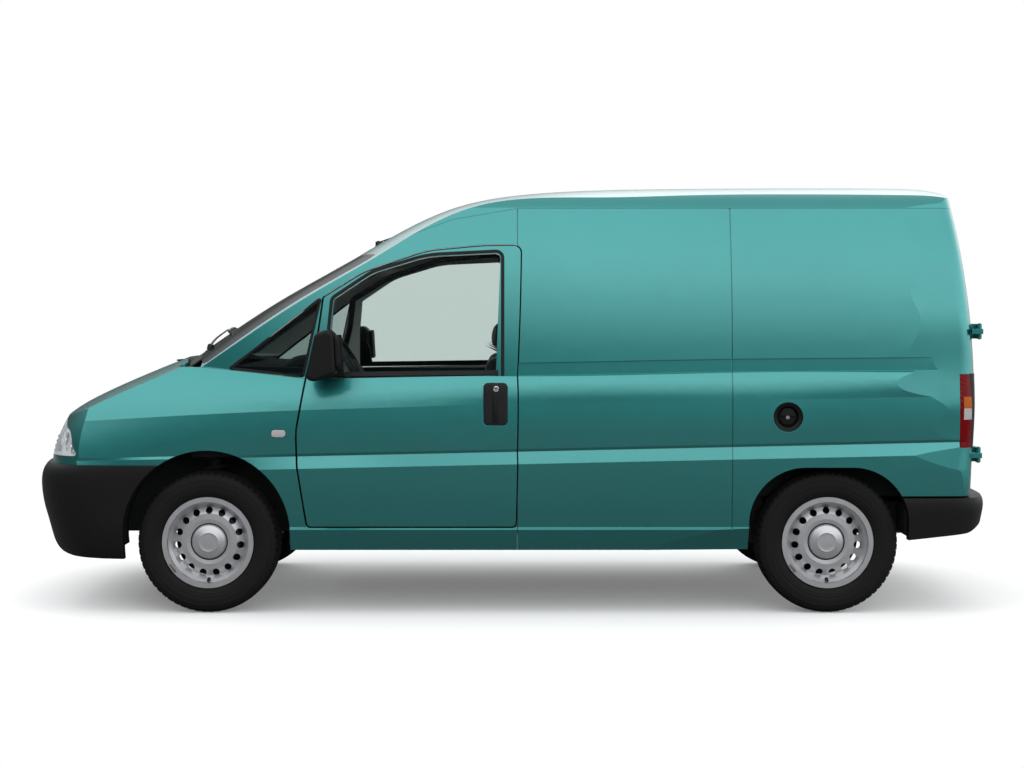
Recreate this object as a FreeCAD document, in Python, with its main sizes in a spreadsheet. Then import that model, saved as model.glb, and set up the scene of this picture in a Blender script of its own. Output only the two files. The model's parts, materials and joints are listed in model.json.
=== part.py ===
import FreeCAD, Part

import math
import os

import Sketcher

from FreeCAD import Placement, Rotation, Vector

# Driving dimensions
# Millimetres and degrees. +X is forward, +Y is the van's left, +Z is up, and the floor is Z = 0.
DRIVING_DIMENSIONS = {
    # Whole van
    "wheelbase": 2824,
    "front_overhang": 850,
    "rear_overhang": 770,
    "body_half_width": 905,
    "roof_height": 1979,
    "seam_clearance": 0.4,
    "moving_gap": 6,
    # Body side, heights of the lines that run along it
    "sill_bottom": 290,
    "sill_top": 392,
    "crease_height": 744,
    "shoulder_height": 956,
    "belt_height": 1081,
    "gutter_height": 1850,
    "gutter_half_width": 745,
    "belt_half_width": 873,
    "wall_thickness": 50,
    "roof_thickness": 34,
    # Cab doors
    "door_front_from_axle": 411,
    "door_length": 993,
    "door_bottom": 399,
    "door_top": 1673,
    "door_front_gap": 8.4,
    "door_hinge_back": 96,
    "door_hinge_inset": 25,
    "door_hinge_low": 500,
    "door_hinge_high": 830,
    "hinge_pin_radius": 6,
    "hinge_boss_radius": 11,
    "hinge_height": 44,
    "running_clearance": 0.3,
    "glass_thickness": 5,
    "glass_inset": 7,
    # Load space
    "load_seam_from_rear_axle": 446,
    "belt_recess_height": 58,
    "belt_recess_depth": 6,
    "belt_recess_end_from_rear_axle": 508,
    "load_floor_top": 556,
    "load_floor_thickness": 40,
    "cab_floor_top": 392,
    "cab_floor_thickness": 30,
    "filler_from_rear_axle": 188,
    "filler_above_crease": 153,
    "filler_radius": 67,
    "filler_depth": 44,
    "filler_cap_radius": 36,
    "bulkhead_top": 1240,
    "bulkhead_thickness": 18,
    "bulkhead_back": 42,
    "wheel_housing_half_width": 640,
    "wheel_housing_top": 696,
    "wheel_housing_thickness": 14,
    "lashing_hole_radius": 4.25,
    "lashing_half_width": 580,
    # Tail
    "tail_thickness": 46,
    "rear_door_bottom": 545,
    "rear_door_half_gap": 4.5,
    "rear_door_hinge_half_width": 792,
    "rear_door_hinge_back": 698,
    "rear_bumper_bottom": 330,
    "rear_bumper_top": 528,
    "rear_bumper_wall": 55,
    "rear_body_bottom": 537,
    "tail_lamp_bottom": 757,
    "tail_lamp_top": 1090,
    # Nose
    "nose_from_bumper": 50,
    "nose_corner_length": 480,
    "bumper_bottom": 250,
    "bumper_top": 676,
    "bumper_thickness": 45,
    "bonnet_hinge_from_axle": 68,
    "bonnet_hinge_height": 1080,
    "bonnet_hinge_half_width": 600,
    "bonnet_pin_radius": 5,
    "bonnet_boss_radius": 10,
    # Wheels
    "track_half_width": 770,
    "tyre_radius": 322,
    "tyre_width": 204,
    "rim_flange_radius": 208,
    "rim_seat_radius": 190,
    "rim_width": 178,
    "wheel_hole_count": 15,
    "wheel_hole_radius": 16,
    "wheel_hole_circle": 143,
    "hub_cap_radius": 81,
    "hub_radius": 66,
    "stub_radius": 24,
    "front_arch_radius": 378,
    "front_arch_rise": 45,
    "rear_arch_half_length": 362,
    "rear_arch_top": 346,
    "kingpin_inset": 145,
    "strut_radius": 22,
    "spring_radius": 34,
    "lower_pin_radius": 12,
    # Front structure
    "rail_inner": 400,
    "rail_outer": 460,
    "rail_bottom": 330,
    "rail_top": 450,
    "firewall_back": 362,
    "firewall_thickness": 16,
    "inner_wing_half_width": 464,
    "tower_half_length": 90,
    "tower_height": 704,
    "tower_outer": 740,
    "upper_rail_height": 930,
    "radiator_front": 640,
    # Rear axle, tank and exhaust
    "beam_radius": 38,
    "beam_ahead_of_axle": 90,
    "arm_inner": 570,
    "arm_outer": 630,
    "tank_rear_from_axle": 460,
    "tank_length": 580,
    "tank_half_width": 380,
    "tank_bottom": 330,
    "tank_rounding": 30,
    "pipe_radius": 24,
    "silencer_radius": 78,
    "pipe_offset": 405,
    "silencer_offset": 360,
    # Engine and gearbox as one block
    "engine_from_axle": 60,
    "engine_length": 400,
    "engine_half_width": 330,
    "engine_top": 880,
    # Seats
    "seat_inner": 150,
    "seat_outer": 640,
    "seat_from_door_rear": 70,
    # Steering wheel
    "steering_from_front_axle": 650,
    "steering_height": 1078,
    "steering_offset": 380,
    "steering_rake": 59.8,
    "steering_ring_radius": 176,
    "steering_ring_section": 14,
    "steering_hub_radius": 62,
    "steering_hub_height": 46,
    "steering_spoke_width": 34,
    "steering_shaft_radius": 9,
}

SHEET = "Sizes"


def make_sheet(doc):
    """The spreadsheet that holds the driving dimensions, one alias each."""
    sheet = doc.addObject("Spreadsheet::Sheet", SHEET)
    for row, (alias, value) in enumerate(DRIVING_DIMENSIONS.items(), start=1):
        sheet.set(f"A{row}", alias)
        sheet.set(f"B{row}", str(value))
        sheet.setAlias(f"B{row}", alias)
    doc.recompute()
    return sheet


doc = FreeCAD.newDocument("PanelVan")
sheet = make_sheet(doc)


def size(alias):
    """One driving dimension, read from the sheet."""
    return float(getattr(sheet, alias))


# Places along the van
HALF_LENGTH = (size("front_overhang") + size("wheelbase") + size("rear_overhang")) / 2
FRONT_AXLE = HALF_LENGTH - size("front_overhang")
REAR_AXLE = FRONT_AXLE - size("wheelbase")
DOOR_FRONT = FRONT_AXLE - size("door_front_from_axle")
DOOR_REAR = DOOR_FRONT - size("door_length")
LOAD_SEAM = REAR_AXLE + size("load_seam_from_rear_axle")
TYRE_RADIUS = size("tyre_radius")
CLEAR = size("seam_clearance")
FAR = 4000.0


def between(x, stations):
    """Straight-line value at x from (x, value) stations given from rear to front."""
    if x <= stations[0][0]:
        return stations[0][1]
    for (x0, v0), (x1, v1) in zip(stations, stations[1:]):
        if x <= x1:
            return v0 + (v1 - v0) * (x - x0) / (x1 - x0)
    return stations[-1][1]


def bowed(start, end, rise):
    """An edge from start to end in a plane of constant X, bowed outwards by rise."""
    if not rise:
        return Part.makeLine(start, end)
    run = end - start
    normal = Vector(0, run.z, -run.y).normalize()
    curve = Part.BezierCurve()
    curve.setPoles([start, (start + end) / 2 + normal * (2 * rise), end])
    return curve.toShape()


def mirrored(shape):
    """The same shape on the other side of the van."""
    return shape.mirror(Vector(0, 0, 0), Vector(0, 1, 0))


def one(shape):
    """The single solid in a boolean's result, or the compound if there are more."""
    return shape.Solids[0] if len(shape.Solids) == 1 else Part.makeCompound(shape.Solids)


# Body surfaces
# The inner surfaces reach below the sill, so that the walls stay open underneath.
SILL_DROP = 80.0


def side_points(x, inset):
    """Half of the body's cross-section at x, from the sill up, moved in by inset."""
    width = size("body_half_width")
    belt = size("belt_half_width")
    gutter = size("gutter_half_width")
    max_width = between(x, [
        (REAR_AXLE - 800, width - 24), (REAR_AXLE, width - 3), (DOOR_REAR, width),
        (DOOR_FRONT, width), (FRONT_AXLE, width - 3), (FRONT_AXLE + 480, width - 20),
        (FRONT_AXLE + 900, width - 50),
    ]) - inset
    shoulder_width = between(x, [
        (REAR_AXLE - 800, width - 32), (REAR_AXLE, width - 12), (DOOR_REAR, width - 10),
        (DOOR_FRONT, width - 12), (FRONT_AXLE, width - 16), (FRONT_AXLE + 900, width - 80),
    ]) - inset
    belt_width = between(x, [
        (REAR_AXLE - 800, belt - 14), (REAR_AXLE, belt + 2), (DOOR_REAR, belt),
        (DOOR_FRONT, belt - 24), (FRONT_AXLE, belt - 58), (FRONT_AXLE + 480, belt - 112),
        (FRONT_AXLE + 900, belt - 180),
    ]) - inset
    gutter_width = between(x, [
        (REAR_AXLE - 800, gutter - 8), (REAR_AXLE, gutter), (DOOR_REAR, gutter - 2),
        (DOOR_FRONT, gutter - 26), (FRONT_AXLE, gutter - 55), (FRONT_AXLE + 900, gutter - 100),
    ]) - inset
    crease = size("crease_height") + (DOOR_REAR - x) * 0.0215
    shoulder = size("shoulder_height") + between(x, [
        (REAR_AXLE - 800, 34), (REAR_AXLE, 24), (DOOR_REAR, 2), (DOOR_FRONT, -28),
        (FRONT_AXLE, -46), (FRONT_AXLE + 900, -100),
    ])
    belt_line = size("belt_height") + between(x, [
        (REAR_AXLE - 800, 32), (REAR_AXLE, 20), (DOOR_REAR, 0), (DOOR_FRONT, -2),
        (FRONT_AXLE, 40), (FRONT_AXLE + 900, 44),
    ])
    sill_top = size("sill_top")
    fade = between(x, [(DOOR_FRONT + 60, 1.0), (FRONT_AXLE - 180, 0.0)])
    return [
        (Vector(x, max_width - 38, size("sill_bottom") - (SILL_DROP if inset else 0)), 0),
        (Vector(x, max_width - 8, sill_top - 6), 0),
        (Vector(x, max_width - 18, sill_top + 4), 4),
        (Vector(x, max_width, crease - 60), 0),
        (Vector(x, max_width - 4 - 9 * fade, crease - 4), 0),
        (Vector(x, max_width - 5 - 3 * fade, crease + 8), 3),
        (Vector(x, shoulder_width, shoulder), 5),
        (Vector(x, belt_width, belt_line), 26),
        (Vector(x, gutter_width, size("gutter_height")), 10),
        (Vector(x, gutter_width - 92, size("gutter_height") + 78), 0),
        (Vector(x, gutter_width - 560, size("gutter_height") + 220), 0),
    ]


def side_section(x, inset):
    """The closed cross-section at x, both sides, with its peak above the roof."""
    half = side_points(x, inset)
    edges = [bowed(half[i][0], half[i + 1][0], half[i][1]) for i in range(len(half) - 1)]
    other = [mirrored(edge) for edge in reversed(edges)]
    top = half[-1][0]
    low = half[0][0]
    bridge = Part.makeLine(top, Vector(x, -top.y, top.z))
    base = Part.makeLine(Vector(x, -low.y, low.z), low)
    return Part.Wire(Part.__sortEdges__(edges + [bridge] + other + [base]))


def side_loft(inset):
    """The body's sides as one long solid, moved in by inset."""
    stations = [
        REAR_AXLE - 800, REAR_AXLE, REAR_AXLE + 750, DOOR_REAR, DOOR_FRONT - 400,
        DOOR_FRONT + 60, FRONT_AXLE - 60, FRONT_AXLE + 420, FRONT_AXLE + 950,
    ]
    return Part.makeLoft([side_section(x, inset) for x in stations], True, False)


def profile_wire(points, y, floor, ends):
    """A closed profile at one y: a smooth curve through points, closed below."""
    curve = Part.BSplineCurve()
    curve.interpolate([Vector(px, y, pz) for px, pz in points])
    first = Vector(points[0][0], y, points[0][1])
    last = Vector(points[-1][0], y, points[-1][1])
    rear = Vector(ends[0], y, first.z)
    front = Vector(ends[1], y, last.z - ends[2] * (ends[1] - last.x))
    corners = [last, front, Vector(ends[1], y, floor), Vector(ends[0], y, floor), rear, first]
    edges = [curve.toShape()]
    edges += [Part.makeLine(a, b) for a, b in zip(corners, corners[1:])]
    return Part.Wire(edges)


ROOF_LINE = [
    (REAR_AXLE - 640, -34), (REAR_AXLE - 560, -13), (REAR_AXLE - 400, -2), (REAR_AXLE, 0),
    (REAR_AXLE + 600, -3), (DOOR_REAR - 380, -11), (DOOR_REAR, -38),
    (DOOR_REAR + 292, -96), (DOOR_REAR + 474, -169), (DOOR_REAR + 614, -242),
    (FRONT_AXLE - 582, -361), (FRONT_AXLE - 243, -552), (FRONT_AXLE + 88, -770),
    (FRONT_AXLE + 330, -940),
]
SCREEN_PLAN_RADIUS = 1800.0
ROOF_CROWN_RADIUS = 3600.0


def roof_loft(lower, back):
    """Roof and windscreen as one solid, lowered and moved back for a layer inside it."""
    wires = []
    for y in (-1000, -500, 0, 500, 1000):
        points = []
        for px, pz in ROOF_LINE:
            share = between(px, [(DOOR_REAR - 380, 0.0), (FRONT_AXLE - 600, 1.0)])
            setback = share * y * y / (2 * SCREEN_PLAN_RADIUS)
            crown = (1 - share) * y * y / (2 * ROOF_CROWN_RADIUS)
            points.append((px - setback - back, size("roof_height") + pz - crown - lower))
        wires.append(profile_wire(points, y, -300, (REAR_AXLE - 1500, FRONT_AXLE + 1100, 0.68)))
    return Part.makeLoft(wires, True, False)


BONNET_LINE = [
    (-200, 1311), (277, 1123), (410, 1068), (614, 976), (718, 916), (778, 862), (822, 780),
]
BONNET_PLAN_RADIUS = 4500.0
BONNET_CROWN_RADIUS = 9000.0


def bonnet_loft(lower):
    """The bonnet's upper surface as a solid that reaches down to the floor."""
    wires = []
    for y in (-1000, -500, 0, 500, 1000):
        setback = y * y / (2 * BONNET_PLAN_RADIUS)
        crown = y * y / (2 * BONNET_CROWN_RADIUS)
        points = [(FRONT_AXLE + px - setback, pz - crown - lower) for px, pz in BONNET_LINE]
        wires.append(profile_wire(points, y, -2000, (FRONT_AXLE - 900, FRONT_AXLE + 1100, 2.0)))
    return Part.makeLoft(wires, True, False)


NOSE_SQUARENESS = 3.4
BUMPER_SQUARENESS = 3.8
REAR_BUMPER_SQUARENESS = 4.4


def plan_wire(z, front, half_width, length, back, inset, exponent):
    """A rounded plan outline at height z, its front a superellipse of the given exponent."""
    steps = 16
    points = []
    for step in range(-steps, steps + 1):
        angle = step / steps * math.pi / 2
        sign = -1 if step < 0 else 1
        y = sign * (half_width - inset) * abs(math.sin(angle)) ** (2 / exponent)
        x = front - inset - length + length * max(math.cos(angle), 0) ** (2 / exponent)
        points.append(Vector(x, y, z))
    curve = Part.BSplineCurve()
    curve.interpolate(points)
    first, last = points[0], points[-1]
    corners = [last, Vector(back, last.y, z), Vector(back, first.y, z), first]
    edges = [curve.toShape()] + [Part.makeLine(a, b) for a, b in zip(corners, corners[1:])]
    return Part.Wire(edges)


NOSE_X = HALF_LENGTH - size("nose_from_bumper")
NOSE_LEVELS = ((150, 0), (700, 0), (780, 22), (850, 54), (900, 82), (1300, 300))


def nose_loft(inset):
    """The nose's rounded plan, from the bumper line up over the bonnet."""
    wires = []
    for z, setback in NOSE_LEVELS:
        wires.append(plan_wire(z, NOSE_X - setback, size("body_half_width") + 3,
                               size("nose_corner_length"), DOOR_REAR, inset, NOSE_SQUARENESS))
    return Part.makeLoft(wires, True, False)


TAIL_LINE = [(150, -696), (600, -706), (970, -720), (1340, -701), (1720, -648), (2060, -574)]
TAIL_CROWN_RADIUS = 7000.0
TAIL_CORNER_RADIUS = 74.0
TAIL_FLARE = 0.06
TAIL_STAND = 2.0
TAIL_CORNER_X = REAR_AXLE - 640
TAIL_LEVELS = (150, 500, 700, 850, 980, 1111, 1250, 1400, 1550, 1700, 1848, 2060)
GUTTER_LEAN = 0.17


def smooth_between(z, stations):
    """Value at z on a smooth curve through (z, value) stations."""
    last = len(stations) - 1
    i = max(0, min(last - 1, sum(1 for station in stations[1:] if station[0] < z)))
    (z0, v0), (z1, v1) = stations[i], stations[i + 1]
    before, after = stations[max(i - 1, 0)], stations[min(i + 2, last)]
    slope0 = (v1 - before[1]) / (z1 - before[0])
    slope1 = (after[1] - v0) / (after[0] - z0)
    t = (z - z0) / (z1 - z0)
    run = z1 - z0
    ends = v0 * (1 + 2 * t) * (1 - t) ** 2 + v1 * t * t * (3 - 2 * t)
    return ends + run * (slope0 * t * (1 - t) ** 2 - slope1 * t * t * (1 - t))


def side_half_width(x, z):
    """Half-width of the body's outer side at x and height z."""
    half = side_points(x, 0)
    if z <= half[0][0].z:
        return half[0][0].y
    for (low, rise), (high, _) in zip(half, half[1:]):
        if z <= high.z:
            run = high - low
            bulge = (low + high) / 2 + Vector(0, run.z, -run.y).normalize() * (2 * rise)
            bend = low.z - 2 * bulge.z + high.z
            climb = bulge.z - low.z
            share = (z - low.z) / (climb + math.sqrt(climb * climb + bend * (z - low.z)))
            return low.y * (1 - share) ** 2 + 2 * bulge.y * share * (1 - share) + high.y * share * share
    return half[-1][0].y


def tail_half_width(z):
    """Half-width of the tail's plan at height z, just outside the body side."""
    gutter = size("gutter_height")
    if z > gutter:
        return side_half_width(TAIL_CORNER_X, gutter) - (z - gutter) * GUTTER_LEAN
    return side_half_width(TAIL_CORNER_X, z)


def tail_wire(z, x_rear, inset):
    """Plan outline of the tail at height z: crowned face and rounded corners."""
    half = tail_half_width(z) + TAIL_STAND - inset
    radius = TAIL_CORNER_RADIUS - inset
    x_centre = x_rear + inset
    flat = half - radius
    x_flat = x_centre + flat * flat / (2 * TAIL_CROWN_RADIUS)
    lean = math.atan(flat / TAIL_CROWN_RADIUS)
    front = FRONT_AXLE + 1100
    crown = Part.BezierCurve()
    crown.setPoles([Vector(x_flat, -flat, z), Vector(2 * x_centre - x_flat, 0, z),
                    Vector(x_flat, flat, z)])
    mid = math.radians(45)
    centre_x = x_flat + radius
    arcs = []
    for side in (1, -1):
        start = Vector(x_flat, side * flat, z)
        middle = Vector(centre_x - radius * math.cos(mid), side * (flat + radius * math.sin(mid)), z)
        end = Vector(centre_x, side * half, z)
        curve = Part.BezierCurve()
        handle = radius * 0.5523
        curve.setPoles([start, Vector(x_flat + handle * math.sin(lean), side * (flat + handle), z),
                        Vector(centre_x - handle, side * half, z), end])
        arcs.append(curve.toShape())
    wide = half + TAIL_FLARE * (front - centre_x)
    lines = [
        Part.makeLine(Vector(centre_x, half, z), Vector(front, wide, z)),
        Part.makeLine(Vector(front, wide, z), Vector(front, -wide, z)),
        Part.makeLine(Vector(front, -wide, z), Vector(centre_x, -half, z)),
    ]
    return Part.Wire(Part.__sortEdges__([crown.toShape(), arcs[0], lines[0], lines[1], lines[2], arcs[1]]))


def tail_loft(inset):
    """The rounded tail as a vertical loft, moved in by inset."""
    wires = [tail_wire(z, REAR_AXLE + smooth_between(z, TAIL_LINE), inset) for z in TAIL_LEVELS]
    return Part.makeLoft(wires, True, False)


def box(x0, x1, y0, y1, z0, z1):
    """A block between two corners."""
    return Part.makeBox(x1 - x0, y1 - y0, z1 - z0, Vector(x0, y0, z0))


def outline(points, plane, offset=0.0):
    """A closed outline of (u, v, corner radius) points in the plane square to the named axis."""

    def place(u, v):
        """The point (u, v) of that plane."""
        return {"x": Vector(0, u, v), "y": Vector(u, 0, v), "z": Vector(u, v, 0)}[plane]

    count = len(points)
    edges = []
    starts = []
    ends = []
    for i, (u, v, radius) in enumerate(points):
        corner = place(u, v)
        before = place(*points[i - 1][:2]) - corner
        after = place(*points[(i + 1) % count][:2]) - corner
        if not radius:
            starts.append(corner)
            ends.append(corner)
            continue
        half_turn = before.getAngle(after) / 2
        run = radius / math.tan(half_turn)
        before.normalize()
        after.normalize()
        start = corner + before * run
        end = corner + after * run
        bisector = (before + after).normalize()
        middle = corner + bisector * (radius / math.sin(half_turn) - radius)
        edges.append(Part.Arc(start, middle, end).toShape())
        starts.append(start)
        ends.append(end)
    for i in range(count):
        if (ends[i] - starts[(i + 1) % count]).Length > 1e-6:
            edges.append(Part.makeLine(ends[i], starts[(i + 1) % count]))
    wire = Part.Wire(Part.__sortEdges__(edges))
    return wire.makeOffset2D(offset) if offset else wire


def prism(points, plane, low, high, offset=0.0):
    """A solid of the outline, from low to high along the axis square to it."""
    along = {"x": Vector(1, 0, 0), "y": Vector(0, 1, 0), "z": Vector(0, 0, 1)}[plane]
    wire = outline(points, plane, offset)
    wire.translate(along * low)
    return Part.Face(wire).extrude(along * (high - low))


def pair(shape):
    """A shape and its mirror image across the van."""
    return Part.makeCompound([shape, mirrored(shape)])


PARTS = []


def feature(name, shape):
    """A named sub-part whose shape is worked out above."""
    item = doc.addObject("Part::Feature", name)
    item.Label = name
    item.Shape = shape
    item.Placement = Placement(Vector(0, 0, 0), Rotation())
    PARTS.append(item)
    return item


# Hulls of the body
outer = side_loft(0).common(roof_loft(0, 0)).common(tail_loft(0))
inner = side_loft(size("wall_thickness")).common(roof_loft(size("roof_thickness"), 0))
inner = inner.common(tail_loft(size("tail_thickness")))
shell = one(outer.cut(inner))
nose = one(side_loft(0).common(bonnet_loft(0)).common(nose_loft(0)))
nose_inner = side_loft(26).common(bonnet_loft(26)).common(nose_loft(26))
nose_shell = one(nose.cut(nose_inner))

# Cuts through one side of the body run between these distances from the middle
INSIDE = 500.0
OUTSIDE = 960.0

# Outlines of the cab door and its openings, seen from the side: (x, z, corner radius)
DOOR_BOTTOM = size("door_bottom")
DOOR_TOP = size("door_top")
DOOR_EDGE = [
    (DOOR_FRONT - 47, DOOR_BOTTOM, 18), (DOOR_FRONT - 4, DOOR_BOTTOM + 278, 300),
    (DOOR_FRONT, DOOR_BOTTOM + 430, 300), (DOOR_FRONT - 43, DOOR_BOTTOM + 676, 400),
    (DOOR_FRONT - 98, DOOR_BOTTOM + 883, 200), (DOOR_FRONT - 119, DOOR_BOTTOM + 1039, 20),
    (DOOR_FRONT - 301, DOOR_TOP - 122, 300), (DOOR_FRONT - 589, DOOR_TOP - 24, 500),
    (DOOR_FRONT - 850, DOOR_TOP, 900),
]
DOOR_REAR_EDGE = [(-8, DOOR_TOP + 1, 722, 30), (-4, size("belt_height"), 873, 0), (0, DOOR_BOTTOM, 900, 16)]
EDGE_LEAN = 0.2


def door_wire(y, gap):
    """The door's outline in the plane at y, its rear edge leaning forward towards the inside."""
    points = list(DOOR_EDGE)
    for dx, z, surface_y, radius in DOOR_REAR_EDGE:
        points.append((DOOR_REAR + dx + EDGE_LEAN * (surface_y - y), z, radius))
    wire = outline(points, "y", gap)
    wire.translate(Vector(0, y, 0))
    return wire


def door_prism(gap):
    """A solid through the left side in the door's outline, grown by gap."""
    return Part.makeLoft([door_wire(OUTSIDE, gap), door_wire(INSIDE, gap)], True, True)


WINDOW_EDGE = [
    (DOOR_FRONT - 151, size("belt_height") - 10, 12), (DOOR_FRONT - 152, DOOR_TOP - 381, 300),
    (DOOR_FRONT - 165, DOOR_TOP - 243, 24), (DOOR_FRONT - 343, DOOR_TOP - 124, 300),
    (DOOR_FRONT - 591, DOOR_TOP - 49, 500), (DOOR_REAR + 70, DOOR_TOP - 33, 24),
    (DOOR_REAR + 92, size("belt_height") + 4, 16),
]
QUARTER_EDGE = [
    (FRONT_AXLE - 94, size("belt_height") + 32, 8), (DOOR_FRONT - 108, DOOR_TOP - 232, 10),
    (DOOR_FRONT - 27, size("belt_height") - 6, 10),
]

door_hole = door_prism(size("moving_gap"))
door_hole_front = door_hole.copy()
door_hole_front.translate(Vector(size("door_front_gap") - size("moving_gap"), 0, 0))
door_hole = door_hole.fuse(door_hole_front)
quarter_hole = prism(QUARTER_EDGE, "y", INSIDE, OUTSIDE)

DITCH = [
    (DOOR_REAR - 7, 1846), (DOOR_REAR + 292, 1795), (DOOR_REAR + 474, 1727),
    (DOOR_REAR + 614, 1657), (FRONT_AXLE - 630, 1592),
]
ROOF_FRONT = FRONT_AXLE - 630


# Cuts through the body shell
ARCH_CENTRE = TYRE_RADIUS + size("front_arch_rise")
ARCH_RADIUS = size("front_arch_radius")
front_arch = Part.makeCylinder(ARCH_RADIUS, 2 * FAR, Vector(FRONT_AXLE, -FAR, ARCH_CENTRE), Vector(0, 1, 0))
below_arch = box(FRONT_AXLE - ARCH_RADIUS, FRONT_AXLE + ARCH_RADIUS, -FAR, FAR, -100, ARCH_CENTRE)
front_arch = front_arch.fuse(below_arch)
REAR_ARCH_BACK = REAR_AXLE - size("rear_arch_half_length")
REAR_ARCH_FRONT = REAR_AXLE + size("rear_arch_half_length")
REAR_ARCH_TOP = TYRE_RADIUS + size("rear_arch_top")
REAR_ARCH = [
    (REAR_ARCH_BACK, -100, 0), (REAR_ARCH_FRONT, -100, 0),
    (REAR_ARCH_FRONT, REAR_ARCH_TOP, 255), (REAR_ARCH_BACK, REAR_ARCH_TOP, 255),
]
rear_arch = prism(REAR_ARCH, "y", -FAR, FAR)

WINDSCREEN_EDGE = [
    (795, size("belt_height") + 50, 14), (0, size("belt_height") + 144, 3000),
    (-795, size("belt_height") + 50, 14), (-741, DOOR_TOP - 36, 45),
    (0, DOOR_TOP - 18, 6000), (741, DOOR_TOP - 36, 45),
]
windscreen_hole = prism(WINDSCREEN_EDGE, "x", DOOR_FRONT - 500, FRONT_AXLE + 200, CLEAR)

BONNET_PLAN = [
    (FRONT_AXLE + 112, 704, 20), (FRONT_AXLE + 226, 0, 1800), (FRONT_AXLE + 112, -704, 20),
    (FRONT_AXLE + 640, -664, 300), (FRONT_AXLE + 712, -606, 60), (FRONT_AXLE + 1000, -606, 0),
    (FRONT_AXLE + 1000, 606, 0), (FRONT_AXLE + 712, 606, 60), (FRONT_AXLE + 640, 664, 300),
]
BONNET_LOW = 806.0
BONNET_GAP = 5.5
HEADLAMP_EDGE = [(508, 708, 14), (868, 718, 10), (806, 822, 90), (640, 876, 14), (520, 806, 14)]
headlamp_hole = pair(prism(HEADLAMP_EDGE, "x", FRONT_AXLE + 480, FAR, CLEAR))
bonnet_hole = prism(BONNET_PLAN, "z", BONNET_LOW - BONNET_GAP, 1800, BONNET_GAP)
behind_bonnet = box(DOOR_REAR, FRONT_AXLE + 230, -704 - BONNET_GAP, 704 + BONNET_GAP, 250, 1800)

REAR_DOOR_TOP = size("gutter_height") - 12
REAR_DOOR_BOTTOM = size("rear_door_bottom")
REAR_DOOR_EDGE = [
    (size("rear_door_half_gap"), REAR_DOOR_BOTTOM, 8), (785, REAR_DOOR_BOTTOM, 30),
    (785, size("belt_height") + 30, 500), (736, 1500, 900), (664, REAR_DOOR_TOP, 40),
    (size("rear_door_half_gap"), REAR_DOOR_TOP, 8),
]
TAIL_FRONT = REAR_AXLE - 535
rear_door_zone = prism(REAR_DOOR_EDGE, "x", -FAR, TAIL_FRONT)
rear_hole = prism(REAR_DOOR_EDGE, "x", -FAR, TAIL_FRONT, size("moving_gap"))
rear_hole = pair(rear_hole).fuse(box(-FAR, TAIL_FRONT, -20, 20, REAR_DOOR_BOTTOM - size("moving_gap"),
                                     REAR_DOOR_TOP + size("moving_gap")))
LAMP_FRONT = REAR_AXLE - 592
lamp_hole = pair(box(-FAR, LAMP_FRONT + CLEAR, 799 - CLEAR, FAR, size("tail_lamp_bottom") - CLEAR,
                     size("tail_lamp_top") + CLEAR))

RECESS_LOW = [(DOOR_REAR - 8, size("belt_height")), (LOAD_SEAM, size("belt_height") + 20),
              (REAR_AXLE - size("belt_recess_end_from_rear_axle"), size("belt_height") + 28)]
RECESS_HEIGHT = size("belt_recess_height")
BELT_RECESS = [
    (RECESS_LOW[0][0], RECESS_LOW[0][1] + 2, 0), (RECESS_LOW[1][0], RECESS_LOW[1][1], 0),
    (RECESS_LOW[2][0], RECESS_LOW[2][1], 28), (RECESS_LOW[2][0], RECESS_LOW[2][1] + RECESS_HEIGHT, 28),
    (RECESS_LOW[1][0], RECESS_LOW[1][1] + RECESS_HEIGHT, 0),
    (RECESS_LOW[0][0], RECESS_LOW[0][1] + RECESS_HEIGHT + 2, 0),
]
belt_recess = prism(BELT_RECESS, "y", -FAR, FAR).cut(side_loft(size("belt_recess_depth")))

SLIDE_EDGE = [
    (DOOR_REAR - 26, DOOR_BOTTOM, 16), (DOOR_REAR - 26, 1788, 30), (LOAD_SEAM + 15, 1796, 40),
    (LOAD_SEAM + 6, size("belt_height") + 60, 600), (LOAD_SEAM - 20, DOOR_BOTTOM + 430, 600),
    (LOAD_SEAM - 18, DOOR_BOTTOM, 30),
]
GROOVE_DEPTH = 7.0
skin_depth = side_loft(GROOVE_DEPTH)


SEAM_WIDTH = 6.0


def groove(points):
    """A narrow ring along an outline on the right side, cut only into the outer skin."""
    ring = prism(points, "y", -OUTSIDE, -INSIDE, SEAM_WIDTH / 2)
    return ring.cut(prism(points, "y", -OUTSIDE - 20, -INSIDE + 20, -SEAM_WIDTH / 2)).cut(skin_depth)


side_seams = [
    box(x - 8, x - 3, INSIDE, OUTSIDE, size("sill_bottom") - 20, size("gutter_height"))
    for x in (DOOR_REAR, LOAD_SEAM)
]
side_seams = Part.makeCompound(side_seams).cut(skin_depth)

# Roof, sides and the frame round the cab
above_gutter = Part.Face(Part.makePolygon([Vector(x, -FAR, z) for x, z in [
    (-FAR, 1848), *DITCH, (ROOF_FRONT, 3000), (-FAR, 3000), (-FAR, 1848)]])).extrude(Vector(0, 2 * FAR, 0))
roof_zone = above_gutter.copy()
roof_zone.translate(Vector(0, 0, CLEAR / 2))
below_gutter = box(-FAR, FAR, -FAR, FAR, -500, 3000).cut(above_gutter)
below_gutter.translate(Vector(0, 0, -CLEAR / 2))

feature("roof_panel", one(shell.common(roof_zone).cut(windscreen_hole).cut(rear_hole)))

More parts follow.
